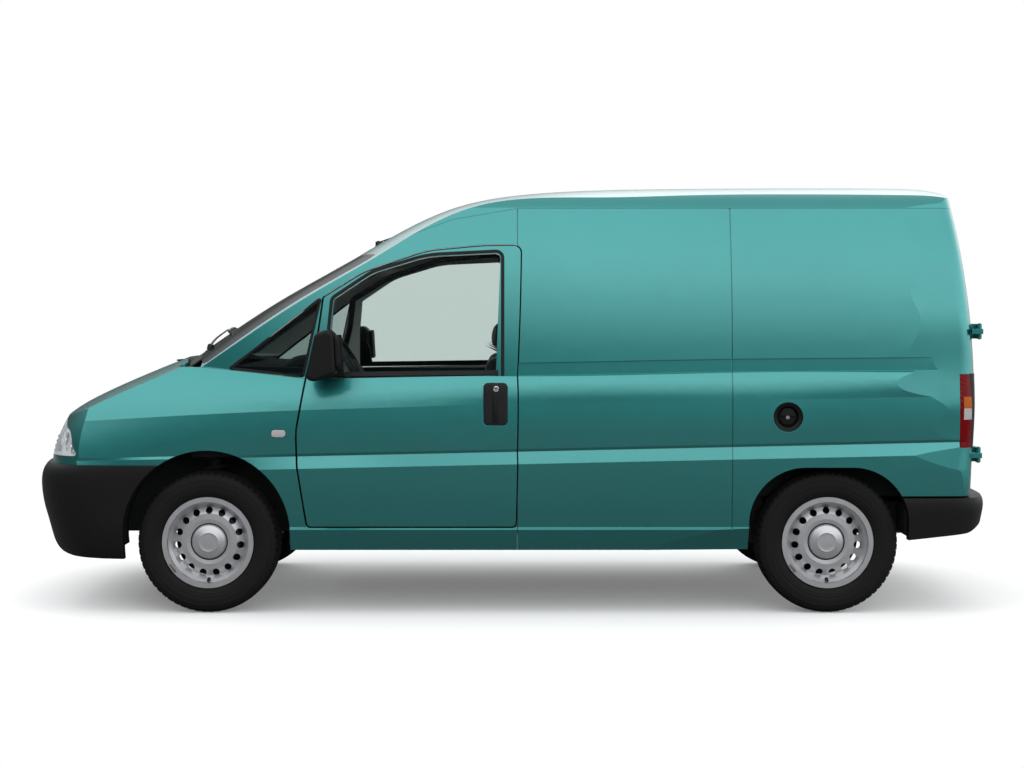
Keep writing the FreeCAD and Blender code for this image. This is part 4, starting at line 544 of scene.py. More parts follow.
class Form:
    """A closed shape being modelled, in metres."""

    def __init__(self) -> None:
        """Start with nothing."""
        self.bm = bmesh.new()

    @classmethod
    def block(cls, low: Place, high: Place, rounding: float = 0.0, segments: int = 2) -> "Form":
        """A box between two corners in millimetres, its edges rounded.

        Args:
            low: its lowest corner.
            high: its highest corner.
            rounding: radius of the edges, in millimetres.
            segments: steps in each rounded edge.
        Returns:
            The form.
        """
        form = cls()
        bmesh.ops.create_cube(form.bm, size=1.0)
        first, last = vec(*low), vec(*high)
        bmesh.ops.scale(form.bm, vec=last - first, verts=form.bm.verts)
        bmesh.ops.translate(form.bm, vec=(first + last) / 2, verts=form.bm.verts)
        return form.rounded(rounding, segments)

    @classmethod
    def plate(cls, outline: Sequence[Place], axis: str, low: float, high: float, rounding: float = 0.0,
              segments: int = 2) -> "Form":
        """An outline carried along the axis square to it, its two faces' edges rounded.

        Args:
            outline: (u, v) corners in millimetres; u and v are the other two axes in order.
            axis: the axis square to the outline.
            low: where it starts along the axis.
            high: where it ends.
            rounding: radius of the end edges, in millimetres.
            segments: steps in each rounded edge.
        Returns:
            The form.
        """
        form = cls()
        verts = [form.bm.verts.new(lifted(axis, low, u, v)) for u, v in outline]
        face = form.bm.faces.new(verts)
        grown = bmesh.ops.extrude_face_region(form.bm, geom=[face])["geom"]
        along = Vector([float(letter == axis) for letter in "xyz"])
        top = [item for item in grown if isinstance(item, bmesh.types.BMVert)]
        bmesh.ops.translate(form.bm, vec=along * (high - low) * MM, verts=top)
        if rounding:
            ends = [edge for edge in form.bm.edges
                    if abs((edge.verts[0].co - edge.verts[1].co).dot(along)) < HAIR]
            bmesh.ops.bevel(form.bm, geom=ends, offset=rounding * MM, segments=segments, profile=0.5,
                            affect="EDGES", material=-1)
        return form

    @classmethod
    def turned(cls, section: Sequence[Place], centre: Place, axis: Place, steps: int = 48) -> "Form":
        """A section spun round an axis.

        Args:
            section: (radius, distance along the axis) corners in millimetres, in order.
            centre: a point of the axis, in millimetres.
            axis: its direction.
            steps: steps in the full turn.
        Returns:
            The form.
        """
        form = cls()
        along = Vector(axis).normalized()
        across = along.orthogonal().normalized()
        middle = vec(*centre)
        verts = [form.bm.verts.new(middle + across * radius * MM + along * run * MM)
                 for radius, run in section]
        edges = [form.bm.edges.new(pair) for pair in zip(verts, verts[1:])]
        if section[0][0] > 0 and section[-1][0] > 0:
            edges.append(form.bm.edges.new((verts[-1], verts[0])))
        bmesh.ops.spin(form.bm, geom=verts + edges, cent=middle, axis=along, angle=math.tau, steps=steps,
                       use_merge=True)
        bmesh.ops.remove_doubles(form.bm, verts=form.bm.verts, dist=SPUN_GAP)
        return form

    @classmethod
    def swept(cls, profile: Sequence[Place], frames: Sequence[Matrix], closed: bool) -> "Form":
        """A small closed profile carried through a row of frames.

        Args:
            profile: (x, y) corners in millimetres, laid in each frame's XY plane.
            frames: where the profile is put, in order.
            closed: whether the row ends where it starts.
        Returns:
            The form.
        """
        form = cls()
        verts = [form.bm.verts.new(frames[0] @ vec(x, y, 0)) for x, y in profile]
        loop = [form.bm.edges.new(pair) for pair in zip(verts, verts[1:] + verts[:1])]
        first = list(loop)
        for before, frame in zip(frames, frames[1:]):
            grown = bmesh.ops.extrude_edge_only(form.bm, edges=loop)["geom"]
            moved = [item for item in grown if isinstance(item, bmesh.types.BMVert)]
            loop = [item for item in grown if isinstance(item, bmesh.types.BMEdge)
                    and item.verts[0] in moved and item.verts[1] in moved]
            bmesh.ops.transform(form.bm, matrix=frame @ before.inverted(), verts=moved)
        if closed:
            bmesh.ops.bridge_loops(form.bm, edges=first + loop)
        else:
            bmesh.ops.contextual_create(form.bm, geom=first)
            bmesh.ops.contextual_create(form.bm, geom=loop)
        return form

    @classmethod
    def cable(cls, points: Sequence[Place], radius: float, sides: int = 10, taper: float = 1.0) -> "Form":
        """A round bar along a smooth line.

        Args:
            points: the line's points in millimetres.
            radius: the bar's radius in millimetres.
            sides: flats round it.
            taper: its radius at the end, as a share of the first.
        Returns:
            The form.
        """
        line = smooth_line([vec(*point) for point in points], 6)
        turns = [math.tau * side / sides for side in range(sides)]
        ring = [(radius * math.cos(turn), radius * math.sin(turn)) for turn in turns]
        frames = []
        count = len(line) - 1
        for index, point in enumerate(line):
            run = line[min(index + 1, count)] - line[max(index - 1, 0)]
            turn = run.to_track_quat("Z", "Y").to_matrix().to_4x4()
            size = 1.0 + (taper - 1.0) * index / count
            frames.append(Matrix.Translation(point) @ turn @ Matrix.Scale(size, 4))
        return cls.swept(ring, frames, False)

    @classmethod
    def of_node(cls, node: str) -> "Form":
        """A copy of a CAD node's mesh, its doubled corners merged.

        Args:
            node: the node's name.
        Returns:
            The form.
        """
        form = cls()
        form.bm.from_mesh(FRAME["nodes"][node].data)
        bmesh.ops.remove_doubles(form.bm, verts=form.bm.verts, dist=NODE_GAP)
        return form

    def rounded(self, radius: float, segments: int = 2, sharper: float = 30.0) -> "Form":
        """Round every edge that turns by more than an angle.

        Args:
            radius: the radius in millimetres.
            segments: steps in each edge.
            sharper: the least turn, in degrees.
        Returns:
            This form.
        """
        if radius:
            self.bm.normal_update()
            edges = [edge for edge in self.bm.edges
                     if len(edge.link_faces) == 2 and edge.calc_face_angle(0.0) > math.radians(sharper)]
            bmesh.ops.bevel(self.bm, geom=edges, offset=radius * MM, segments=segments, profile=0.5,
                            affect="EDGES", material=-1)
        return self

    def moved(self, *shift: float) -> "Form":
        """Shift the form by millimetres."""
        bmesh.ops.translate(self.bm, vec=vec(*shift), verts=self.bm.verts)
        return self

    def turned_by(self, angle: float, axis: str, centre: Place) -> "Form":
        """Turn the form.

        Args:
            angle: degrees.
            axis: X, Y or Z.
            centre: the point to turn about, in millimetres.
        Returns:
            This form.
        """
        bmesh.ops.rotate(self.bm, cent=vec(*centre), matrix=Matrix.Rotation(math.radians(angle), 3, axis),
                         verts=self.bm.verts)
        return self

    def stretched(self, x: float, y: float, z: float, centre: Place) -> "Form":
        """Scale the form about a point in millimetres."""
        middle = Matrix.Translation(-vec(*centre))
        bmesh.ops.scale(self.bm, vec=(x, y, z), space=middle, verts=self.bm.verts)
        return self

    def _bisected(self, point: Place, normal: Place, clear: bool) -> list:
        """Cut the form along a plane.

        Args:
            point: a point of the plane, in millimetres.
            normal: its direction.
            clear: whether what lies behind the plane goes.
        Returns:
            What lies on the cut.
        """
        geom = [*self.bm.verts, *self.bm.edges, *self.bm.faces]
        return bmesh.ops.bisect_plane(self.bm, geom=geom, plane_co=vec(*point), plane_no=Vector(normal),
                                      clear_inner=clear, dist=HAIR)["geom_cut"]

    def split(self, point: Place, normal: Place) -> None:
        """Cut the faces along a plane in millimetres, and keep both sides joined."""
        self._bisected(point, normal, False)

    def cut_below(self, point: Place, normal: Place) -> "Form":
        """Cut away what lies behind a plane, and close the cut.

        Args:
            point: a point of the plane, in millimetres.
            normal: its direction; the form keeps what lies ahead of it.
        Returns:
            This form.
        """
        edges = [item for item in self._bisected(point, normal, True) if isinstance(item, bmesh.types.BMEdge)]
        bmesh.ops.triangle_fill(self.bm, use_beauty=True, use_dissolve=False, edges=edges)
        return self

    def flipped(self) -> "Form":
        """The same form on the van's other side."""
        other = Form()
        poured(self.bm, other.bm)
        bmesh.ops.scale(other.bm, vec=(1, -1, 1), verts=other.bm.verts)
        return other

    def bent(self, move: Callable[[Vector], Vector]) -> "Form":
        """Move every corner by a rule.

        Args:
            move: gives a corner's new place for its old one.
        Returns:
            This form.
        """
        for vert in self.bm.verts:
            vert.co = move(vert.co)
        return self


def smooth_line(points: Sequence[Vector], steps: int, closed: bool = False) -> list[Vector]:
    """Points along a smooth curve through the given ones.

    Args:
        points: the points to pass through.
        steps: pieces between each two.
        closed: whether the curve returns to its first point.
    Returns:
        The curve's points.
    """
    count = len(points)
    line = []
    for index in range(count if closed else count - 1):
        if closed:
            p0, p1, p2, p3 = (points[(index + k) % count] for k in (-1, 0, 1, 2))
        else:
            p0, p1, p2, p3 = (points[max(0, min(count - 1, index + k))] for k in (-1, 0, 1, 2))
        for step in range(steps):
            t = step / steps
            line.append(0.5 * ((2 * p1) + (p2 - p0) * t + (2 * p0 - 5 * p1 + 4 * p2 - p3) * t * t
                               + (3 * p1 - p0 - 3 * p2 + p3) * t ** 3))
    if not closed:
        line.append(points[-1].copy())
    return line


def rounded_outline(points: Sequence[Place], steps: int = 5) -> list[Point]:
    """An outline with its corners rounded.

    Args:
        points: (u, v, radius) corners in millimetres.
        steps: pieces in each corner's arc.
    Returns:
        The outline's (u, v) points.
    """
    line: list[Point] = []
    count = len(points)
    for index, (u, v, radius) in enumerate(points):
        corner = Vector((u, v))
        before = Vector(points[index - 1][:2]) - corner
        after = Vector(points[(index + 1) % count][:2]) - corner
        if not radius:
            line.append((u, v))
            continue
        half = before.angle(after) / 2
        run = radius / math.tan(half)
        start, end = corner + before.normalized() * run, corner + after.normalized() * run
        for step in range(steps + 1):
            t = step / steps
            point = start * (1 - t) ** 2 + corner * 2 * t * (1 - t) + end * t * t
            line.append((point.x, point.y))
    return line


def even_line(points: Sequence[Point], pitch: float, closed: bool = True) -> list[Point]:
    """Extra points on an outline's long runs, so that it can follow a curved surface.

    Args:
        points: the outline.
        pitch: the longest run, in millimetres.
        closed: whether the outline returns to its start.
    Returns:
        The outline with its runs divided.
    """
    line: list[Point] = []
    ends = list(points[1:]) + ([points[0]] if closed else [])
    for start, end in zip(points, ends):
        length = math.dist(start, end)
        count = max(1, math.ceil(length / pitch))
        line += [(start[0] + (end[0] - start[0]) * k / count, start[1] + (end[1] - start[1]) * k / count)
                 for k in range(count)]
    if not closed:
        line.append(tuple(points[-1]))
    return line


class Skin:
    """The surface of some CAD nodes, which trim is laid on."""

    def __init__(self, *nodes: str) -> None:
        """Args: nodes: the nodes whose surface counts."""
        bm = bmesh.new()
        for node in nodes:
            bm.from_mesh(FRAME["nodes"][node].data)
        self.tree = BVHTree.FromBMesh(bm)
        bm.free()

    def hit(self, start: Vector, aim: Vector) -> tuple[Vector, Vector] | None:
        """The first point of the surface along a line.

        Args:
            start: where the line starts, in metres.
            aim: its direction.
        Returns:
            The point and the outward normal there, or nothing.
        """
        place, normal, _, _ = self.tree.ray_cast(start, aim)
        if place is None:
            return None
        return place, (normal if normal.dot(aim) < 0 else -normal)

    def met(self, throw: Throw, u: float, v: float) -> tuple[Vector, Vector] | None:
        """The point and the normal where a throw at (u, v) on the other axes, in millimetres, lands."""
        return self.hit(lifted(throw.axis, throw.start, u, v), throw.aim)


def laid_frames(line: Sequence[Vector], normals: Sequence[Vector], closed: bool) -> list[Matrix]:
    """Frames along a line on a surface: X across the line, Y off the surface, Z along the line.

    Args:
        line: the line's points.
        normals: the surface's normals there.
        closed: whether the line returns to its start.
    Returns:
        The frames.
    """
    frames = []
    count = len(line)
    for index, (point, normal) in enumerate(zip(line, normals)):
        if closed:
            run = line[(index + 1) % count] - line[index - 1]
        else:
            run = line[min(index + 1, count - 1)] - line[max(index - 1, 0)]
        along = (run - normal * run.dot(normal)).normalized()
        across = normal.cross(along)
        frame = Matrix((across, normal, along)).transposed().to_4x4()
        frame.translation = point
        frames.append(frame)
    return frames


class Piece:
    """One named piece of the van, gathered from forms with a finish each."""

    def __init__(self, name: str, body: str, slot: str) -> None:
        """Args: name: the piece's name. body: what it rides on. slot: the record's slot for its finish; it is
        kept but not used.
        """
        self.name = name
        self.body = body
        self.slot = slot
        self.bm = bmesh.new()
        self.finishes: list[Material] = []

    def _slot_of(self, finish: Material) -> int:
        """The number of a finish on this piece, which is taken on if it is new."""
        if finish not in self.finishes:
            self.finishes.append(finish)
        return self.finishes.index(finish)

    def add(self, form: Form, finish: Material | Callable[[Vector], Material],
            both_sides: bool = False) -> "Piece":
        """Add a form.

        Args:
            form: the form, which is used up.
            finish: its finish, or what gives the finish for the middle of a face, in millimetres.
            both_sides: whether its mirror image is added too.
        Returns:
            This piece.
        """
        single = None if callable(finish) else self._slot_of(finish)
        for each in [form, form.flipped()] if both_sides else [form]:
            bmesh.ops.recalc_face_normals(each.bm, faces=each.bm.faces)
            for face in each.bm.faces:
                face.material_index = (self._slot_of(finish(face.calc_center_median() / MM)) if single is None
                                       else single)
                face.smooth = True
            poured(each.bm, self.bm)
            each.bm.free()
        return self

    def made(self, *nodes: str, sharp: float = 32.0) -> bpy.types.Object:
        """Finish the piece.

        Args:
            nodes: the CAD nodes that it stands for.
            sharp: the turn in degrees from which an edge shows as an edge.
        Returns:
            Its object.
        """
        mesh = bpy.data.meshes.new(self.name)
        self.bm.to_mesh(mesh)
        self.bm.free()
        for finish in self.finishes:
            mesh.materials.append(finish)
        mesh.set_sharp_from_angle(angle=math.radians(sharp))
        thing = bpy.data.objects.new(self.name, mesh)
        bpy.context.scene.collection.objects.link(thing)
        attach(thing, self.body)
        if nodes:
            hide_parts(*nodes)
        log.info("%s: %d faces on %s", self.name, len(mesh.polygons), self.body)
        return thing


# Wheels

@dataclass
class RoadWheel:
    """A tyre with its tread, and the fittings on a pressed rim."""

    axle: Axle
    side: Side
    shop: Workshop
    tread_radius: float = 322.0
    shoulder_radius: float = 300.0
    block_inner: float = 47.0
    block_outer: float = 90.0
    rib_inner: float = 9.0
    rib_outer: float = 36.0
    bead_radius: float = 190.4
    groove_depth: float = 6.5
    steps: int = 240
    pitch: int = 4
    valve_radius: float = 177.0
    weight_radius: float = 197.0
    weight_angle: float = 126.0
    weight_bend: float = 0.2

    @property
    def name(self) -> str:
        """The wheel's axle and side, as the nodes spell them."""
        return f"{self.axle.value}_{self.side.word}"

    @property
    def body(self) -> str:
        """The wheel's body."""
        return f"wheel_{self.name}"

    @property
    def centre(self) -> Vector:
        """The wheel's middle, in millimetres."""
        low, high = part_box(f"tyre_{self.name}")
        return (low + high) / 2 / MM

    def build(self) -> None:
        """Make the tyre and the rim's fittings."""
        self._tyre()
        self._fittings()

    def _section(self) -> list[Point]:
        """The tyre's section from the outer bead over the tread to the inner bead and back inside.

        Returns:
            (radius, distance out) corners in millimetres.
        """
        tread = self.tread_radius
        floor = tread - self.groove_depth
        half = [
            (self.bead_radius, 66.0), (self.bead_radius + 1, 80.0), (200, 82.4), (211, 83.4), (214, 88),
            (218, 91), (224, 92.5), (228, 95.5), (234, 98.5), (237, 98), (239, 99.4), (250, 101),
            (252, 100.4), (254, 101.4), (264, 102), (276, 101.4), (284, 99.8), (287, 100.4),
            (289.5, 98.2), (296, 95.4), (299, 94.6), (303, 92.4), (309, 88.4), (314, 83.4), (318, 76),
            (320.4, 66), (321.2, 56), (tread - 0.4, 47.0), (floor, 45.5), (floor, 38.0), (tread - 0.2, 36.5),
            (tread, 24.0), (tread, 9.0), (floor, 7.5), (floor, 0.0),
        ]
        inside = [(self.bead_radius, -66.0), (214, -76), (244, -88), (280, -86), (300, -72),
                  (308, -40), (309, 0), (308, 40), (300, 72), (280, 86), (244, 88),
                  (214, 76)]
        return half + [(r, -out) for r, out in reversed(half[:-1])] + inside[1:]

    def _tyre(self) -> None:
        """Spin the section, then press cross grooves into the tread's ribs."""
        centre = self.centre
        form = Form.turned(self._section(), centre, (0, 1, 0), self.steps)
        form.bm.normal_update()
        middle = centre * MM
        cross: list[bmesh.types.BMFace] = []
        shoulder: list[bmesh.types.BMFace] = []
        for face in form.bm.faces:
            spot = face.calc_center_median() - middle
            radius, out = math.hypot(spot.x, spot.z) / MM, abs(spot.y) / MM
            step = int((math.atan2(spot.z, spot.x) / math.tau + 1.0) * self.steps)
            turn = step % self.pitch
            if radius > self.shoulder_radius and self.block_inner < out < self.block_outer and turn == 0:
                shoulder.append(face)
            elif (radius > self.tread_radius - 2.0 and self.rib_inner < out < self.rib_outer
                  and turn == (2 if spot.y > 0 else 0)):
                cross.append(face)
        for faces, wall in ((shoulder, 1.3), (cross, 2.2)):
            bmesh.ops.inset_region(form.bm, faces=faces, thickness=wall * MM,
                                   depth=-self.groove_depth * 0.8 * MM, use_even_offset=True)
        piece = Piece(f"tyre_with_tread_{self.name}", self.body, "tyre_rubber")
        piece.add(form, self.shop.tyre).made(f"tyre_{self.name}", sharp=38.0)

    def _fittings(self) -> None:
        """The cap and its dark ring, the ring in the rim's well, the valve and a balance weight."""
        shop, centre, out = self.shop, self.centre, self.side.value
        piece = Piece(f"wheel_fittings_{self.name}", self.body, "silver_steel")
        cap_ring = [(79, 44), (82.5, 47.2), (85.5, 44.4), (82.5, 40)]
        cap = [(0, 66.4), (26, 66.6), (40, 65.6), (43, 66.4), (52, 63.4), (66, 60.2), (74, 57), (78.6, 50),
               (79.4, 44), (72, 42), (0, 42)]
        well_ring = [(172.6, 50.6), (174.6, 53.2), (177, 52.2), (175, 49.4)]
        for section, steps, finish in ((cap_ring, 96, shop.seal), (cap, 96, shop.wheel),
                                       (well_ring, 120, shop.seal)):
            piece.add(Form.turned(section, centre, (0, out, 0), steps), finish)
        foot = Vector((centre.x, centre.y + out * 58.0, centre.z - self.valve_radius + 7))
        stem = [(0, 0), (8.5, 0), (8, 6), (5.2, 10), (4.8, 22), (5.4, 23), (5.4, 33), (4.2, 35), (0, 35)]
        piece.add(Form.turned(stem, foot, (0, out * 0.86, -0.1), 20), shop.seal)
        weight = Form.block((-22, -3, -6), (22, 3, 6), 2.5)
        weight.bent(lambda co: Vector((co.x, co.y, co.z - co.x * co.x / (2 * self.weight_bend))))
        turned = weight.turned_by(self.weight_angle, "Y", (0, 0, 0))
        turn = math.radians(self.weight_angle)
        turned.moved(centre.x + self.weight_radius * math.sin(turn), centre.y + out * 91.0,
                     centre.z + self.weight_radius * math.cos(turn))
        piece.add(turned, shop.pipe).made()


# Trim on the body's sides

def laid_ring(skin: Skin, outline: Sequence[Point], throw: Throw, profile: Sequence[Place],
              pitch: float = 24.0, closed: bool = True) -> Form:
    """A strip of trim laid along an outline on the body.

    Args:
        skin: the surface that it lies on.
        outline: (u, v) points in millimetres; u and v are the axes other than the throw's.
        throw: how the outline is thrown onto the surface.
        profile: the strip's section: (out from the outline's middle, off the surface), in millimetres.
        pitch: the longest step along the strip.
        closed: whether the outline returns to its start.
    Returns:
        The strip.
    """
    places, normals = [], []
    for u, v in even_line(outline, pitch, closed):
        met = skin.met(throw, u, v)
        if met:
            places.append(met[0])
            normals.append(met[1])
    if len(places) < 2:
        raise ValueError(f"no surface under the strip that starts at {tuple(outline[0])}")
    frames = laid_frames(places, normals, closed)
    middle = sum(places, Vector()) / len(places)
    outward = sum(1 if frame.col[0].to_3d().dot(place - middle) > 0 else -1
                  for frame, place in zip(frames, places))
    section = [(x if outward > 0 else -x, y) for x, y in profile]
    return Form.swept(section, frames, closed)


@dataclass
class SidePart:
    """A sub-assembly that each side of the van has, modelled on the left."""

    side: Side
    shop: Workshop

    def own(self, form: Form) -> Form:
        """A form of the left side, put on this part's side."""
        return form if self.side is Side.LEFT else form.flipped()

    def piece(self, stem: str, body: str, slot: str) -> Piece:
        """A piece named for its side; its body is the van's, or this side's own of that name."""
        return Piece(self.node(stem), body if body == "body" else self.node(body), slot)

    def node(self, stem: str) -> str:
        """The name of this side's own node or body."""
        return f"{stem}_{self.side.word}"


@dataclass
class WindowRubber(SidePart):
    """The black rubbers round a cab door's window and round the quarter window."""

    door_front: float = 961.0
    door_rear: float = -32.0
    front_axle: float = 1372.0
    belt: float = 1081.0
    door_top: float = 1673.0

    def build(self) -> None:
        """Make both rubbers."""
        self._door_window()
        self._quarter_window()

    def _door_window(self) -> None:
        """The ring round the door's window, with the wiping strip along its foot."""
        front, rear, belt, top = self.door_front, self.door_rear, self.belt, self.door_top
        corners = [(front - 151, belt - 10, 12), (front - 152, top - 381, 300), (front - 165, top - 243, 24),
                   (front - 343, top - 124, 300), (front - 591, top - 49, 500), (rear + 70, top - 33, 24),
                   (rear + 92, belt + 4, 16)]
        outline = grown_outline(rounded_outline(corners, 8), 2.0)
        arch = [point for point in outline if point[1] > belt + 22]
        side = self.side
        piece = self.piece("door_window_rubber", "door", "trim_plastic")
        wide = [(0.5, -6), (15, -2), (16.5, 0.6), (15, 2.4), (9, 3.2), (2.5, 2.2), (0.0, -1.0)]
        arch = [(arch[0][0], belt + 2), *arch, (arch[-1][0], belt + 2)]
        ring = even_line(arch, 18.0, False)
        door = Skin(self.node("cab_door"))
        piece.add(laid_ring(door, ring, side.outside, wide, 18.0, False), self.shop.seal)
        strip = even_line([(front - 138, belt + 6), (rear + 80, belt + 16)], 30.0, False)
        wiper = [(-13, -4), (13, -4), (13, 1), (9, 6.5), (-9, 8.5), (-13, 3)]
        window = Skin(self.node("cab_door"), self.node("door_glass"))
        piece.add(laid_ring(window, strip, side.outside, wiper, 30.0, False), self.shop.trim).made()

    def _quarter_window(self) -> None:
        """The rubber round the quarter window."""
        axle, front, belt, top = self.front_axle, self.door_front, self.belt, self.door_top
        corners = [(axle - 94, belt + 32, 8), (front - 108, top - 232, 10), (front - 27, belt - 6, 10)]
        outline = rounded_outline(corners, 5)
        piece = self.piece("quarter_window_rubber", "body", "trim_plastic")
        skin = Skin("quarter_glasses", "cab_frame")
        rubber = [(-9, -2), (4, -2), (5, 1.2), (2, 2.6), (-6, 2.2), (-9.5, 0.4)]
        piece.add(laid_ring(skin, outline, self.side.outside, rubber, 20.0), self.shop.seal).made()


def rounded_box(low: Point, high: Point, radius: float, steps: int = 6) -> list[Point]:
    """A rectangle between two corners in millimetres, with one radius at its corners."""
    spots = (low, (high[0], low[1]), high, (low[0], high[1]))
    return rounded_outline([(u, v, radius) for u, v in spots], steps)


def grown_outline(outline: Sequence[Point], by: float) -> list[Point]:
    """An outline moved outwards.

    Args:
        outline: its (u, v) points, in millimetres.
        by: how far.
    Returns:
        The moved outline.
    """
    count = len(outline)
    area = sum(a[0] * b[1] - b[0] * a[1] for a, b in zip(outline, [*outline[1:], outline[0]]))
    sign = 1.0 if area > 0 else -1.0
    line = []
    for index, (u, v) in enumerate(outline):
        before, after = outline[index - 1], outline[(index + 1) % count]
        run = Vector((after[0] - before[0], after[1] - before[1]))
        if run.length < HAIR:
            line.append((u, v))
            continue
        run.normalize()
        line.append((u + sign * run.y * by, v - sign * run.x * by))
    return line


@dataclass
class DoorHandle(SidePart):
    """The black handle plate with its finger well, upright lever and round lock."""

    rear: float = 7.0
    front: float = 114.0
    low: float = 860.0
    high: float = 1050.0
    floor: float = 868.0
    face: float = 899.0
    lever_middle: float = 940.0
    lever_bow: float = 1.1
    lock: Point = (58, 1025)
    well_low: Point = (20, 893)
    well_high: Point = (101, 1008)
    well_depth: float = 24.0

    def build(self) -> None:
        """Make the plate, the lever and the lock."""
        shop, sign = self.shop, self.side.value
        piece = self.piece("door_handle", "door", "trim_plastic")
        plate = rounded_box((self.rear, self.low), (self.front, self.high), 18)
        piece.add(self._dished(Form.plate(plate, "y", self.floor, self.face, 2.5, 3)), shop.trim)
        lever = rounded_outline([(46, 872, 5), (75, 872, 5), (73, 1006, 6), (48, 1006, 6)], 4)
        grip = Form.plate(lever, "y", self.face - 16, self.face + 7, 4.0, 3)
        middle = self.lever_middle * MM
        grip.bent(lambda co: Vector((co.x, co.y - (co.z - middle) ** 2 * self.lever_bow, co.z)))
        piece.add(self.own(grip), shop.bumper)
        lock = [(0, 0), (12.2, 0), (13.2, 3), (12.4, 4.6), (10.8, 5), (10.2, 4), (0, 4.2)]
        x, z = self.lock
        piece.add(Form.turned(lock, (x, sign * (self.face - 1.5), z), (0, sign, 0), 32), shop.chrome)
        slit = Form.block((-0.9, -0.6, -4.6), (0.9, 0.6, 4.6), 0.3, 1)
        slit.moved(x, sign * (self.face + 3.0), z)
        piece.add(slit, shop.seal).made()

    def _dished(self, form: Form) -> Form:
        """Press the finger well into the plate's face.

        Args:
            form: the plate on the left side.
        Returns:
            The dished plate on this handle's side.
        """
        form.bm.normal_update()
        faces = [face for face in form.bm.faces if face.normal.y > 0.99 and face.calc_area() > 1e-3]
        bmesh.ops.inset_region(form.bm, faces=faces, thickness=6.0 * MM, depth=0.0)
        (left, low), (right, high) = self.well_low, self.well_high
        for z in (low, high):
            form.split((0, 0, z), (0, 0, 1))
        for x in (left, right):
            form.split((x, 0, 0), (1, 0, 0))
        form.bm.normal_update()
        well = []
        for face in form.bm.faces:
            middle = face.calc_center_median() / MM
            if face.normal.y > 0.99 and left < middle.x < right and low < middle.z < high:
                well.append(face)
        bmesh.ops.inset_region(form.bm, faces=well, thickness=4.0 * MM, depth=-self.well_depth * MM)
        return self.own(form)


@dataclass
class FuelFiller:
    """The round filler cup: its flange and bowl, and the cap with its grip and lock."""

    shop: Workshop
    x: float = -1264.0
    z: float = 897.0
    face: float = 890.0

    def build(self) -> None:
        """Make the flange with the bowl, the cap, its grip and the lock."""
        shop = self.shop
        piece = Piece("filler_cup", "body", "trim_plastic")
        centre, out = (self.x, self.face, self.z), (0, 1, 0)
        flange = [(66.6, -8), (66.6, 1.4), (64.5, 3), (62.5, 2.6), (54, -2), (49, -5), (47, -7.5), (45, -26),
                  (20, -34), (0, -35), (0, -38), (46, -38), (60, -30)]
        piece.add(Form.turned(flange, centre, out, 96), shop.bumper)
        cap = [(0, -34), (40.5, -34), (42, -30), (42, -22), (39, -18.5), (0, -17)]
        piece.add(Form.turned(cap, centre, out, 72), shop.trim)
        grip = rounded_outline([(-40, 2, 3), (40, 2, 3), (24, 34, 24), (-24, 34, 24)], 8)
        lower = rounded_outline([(-39, -6, 3), (39, -6, 3), (22, -35, 22), (-22, -35, 22)], 8)
        for outline, top, edge in ((grip, self.face - 7, 3.0), (lower, self.face - 12, 2.5)):
            placed = [(self.x + u, self.z + v) for u, v in outline]
            piece.add(Form.plate(placed, "y", self.face - 20, top, edge, 3), shop.bumper)
        key = [(0, 0), (8.6, 0), (9.4, 1.4), (8.4, 2.4), (0, 2)]
        piece.add(Form.turned(key, (self.x + 1, self.face - 8, self.z - 3), out, 24), shop.chrome)
        piece.made("fuel_filler")


@dataclass
class MirrorFittings(SidePart):
    """What completes a door mirror: the glass and its bezel."""

    inner: float = 924.0
    outer: float = 1066.0
    low: float = 1126.0
    lean: float = 0.05

    def build(self) -> None:
        """Make the glass and the bezel."""
        low, inner, outer = self.low, self.inner, self.outer
        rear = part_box(self.node("mirror"))[0].x / MM
        piece = self.piece("mirror_glass", "door", "trim_plastic")
        glass = [(inner, low, 18), (outer, low, 22), (outer - 6, low + 136, 26), (inner + 6, low + 136, 22)]
        bezel = [(inner - 8, low - 8, 22), (outer + 8, low - 8, 26), (outer + 1, low + 145, 30),
                 (inner - 1, low + 145, 26)]
        for corners, back, front, edge, steps, finish in ((glass, 0.8, 14.0, 1.2, 2, self.shop.chrome),
                                                          (bezel, 1.5, 20.0, 3.0, 3, self.shop.bumper)):
            form = Form.plate(rounded_outline(corners, 6), "x", rear - back, rear + front, edge, steps)
            form.bent(lambda co: Vector((co.x + (co.z - low * MM) * self.lean, co.y, co.z)))
            piece.add(self.own(form), finish)
        piece.made()


@dataclass
class SideRepeater(SidePart):
    """The small pale flasher on the front wing."""

    rear: float = 1011.0
    front: float = 1075.0
    low: float = 805.0
    high: float = 839.0

    def build(self) -> None:
        """Make the lens and its black seat."""
        middle = ((self.rear + self.front) / 2, (self.low + self.high) / 2)
        place, _ = Skin("front_wings").met(self.side.outside, *middle)
        face = abs(place.y) / MM
        piece = self.piece("side_repeater", "body", "lamp_clear")
        outline = rounded_box((self.rear, self.low), (self.front, self.high), 15)
        seat = Form.plate(grown_outline(outline, 2.0), "y", face - 5, face + 1.6, 1.2, 2)
        lens = Form.plate(outline, "y", face - 4, face + 6.5, 4.5, 4)
        for form, finish in ((seat, self.shop.seal), (lens, self.shop.white)):
            piece.add(self.own(form), finish)
        piece.made()


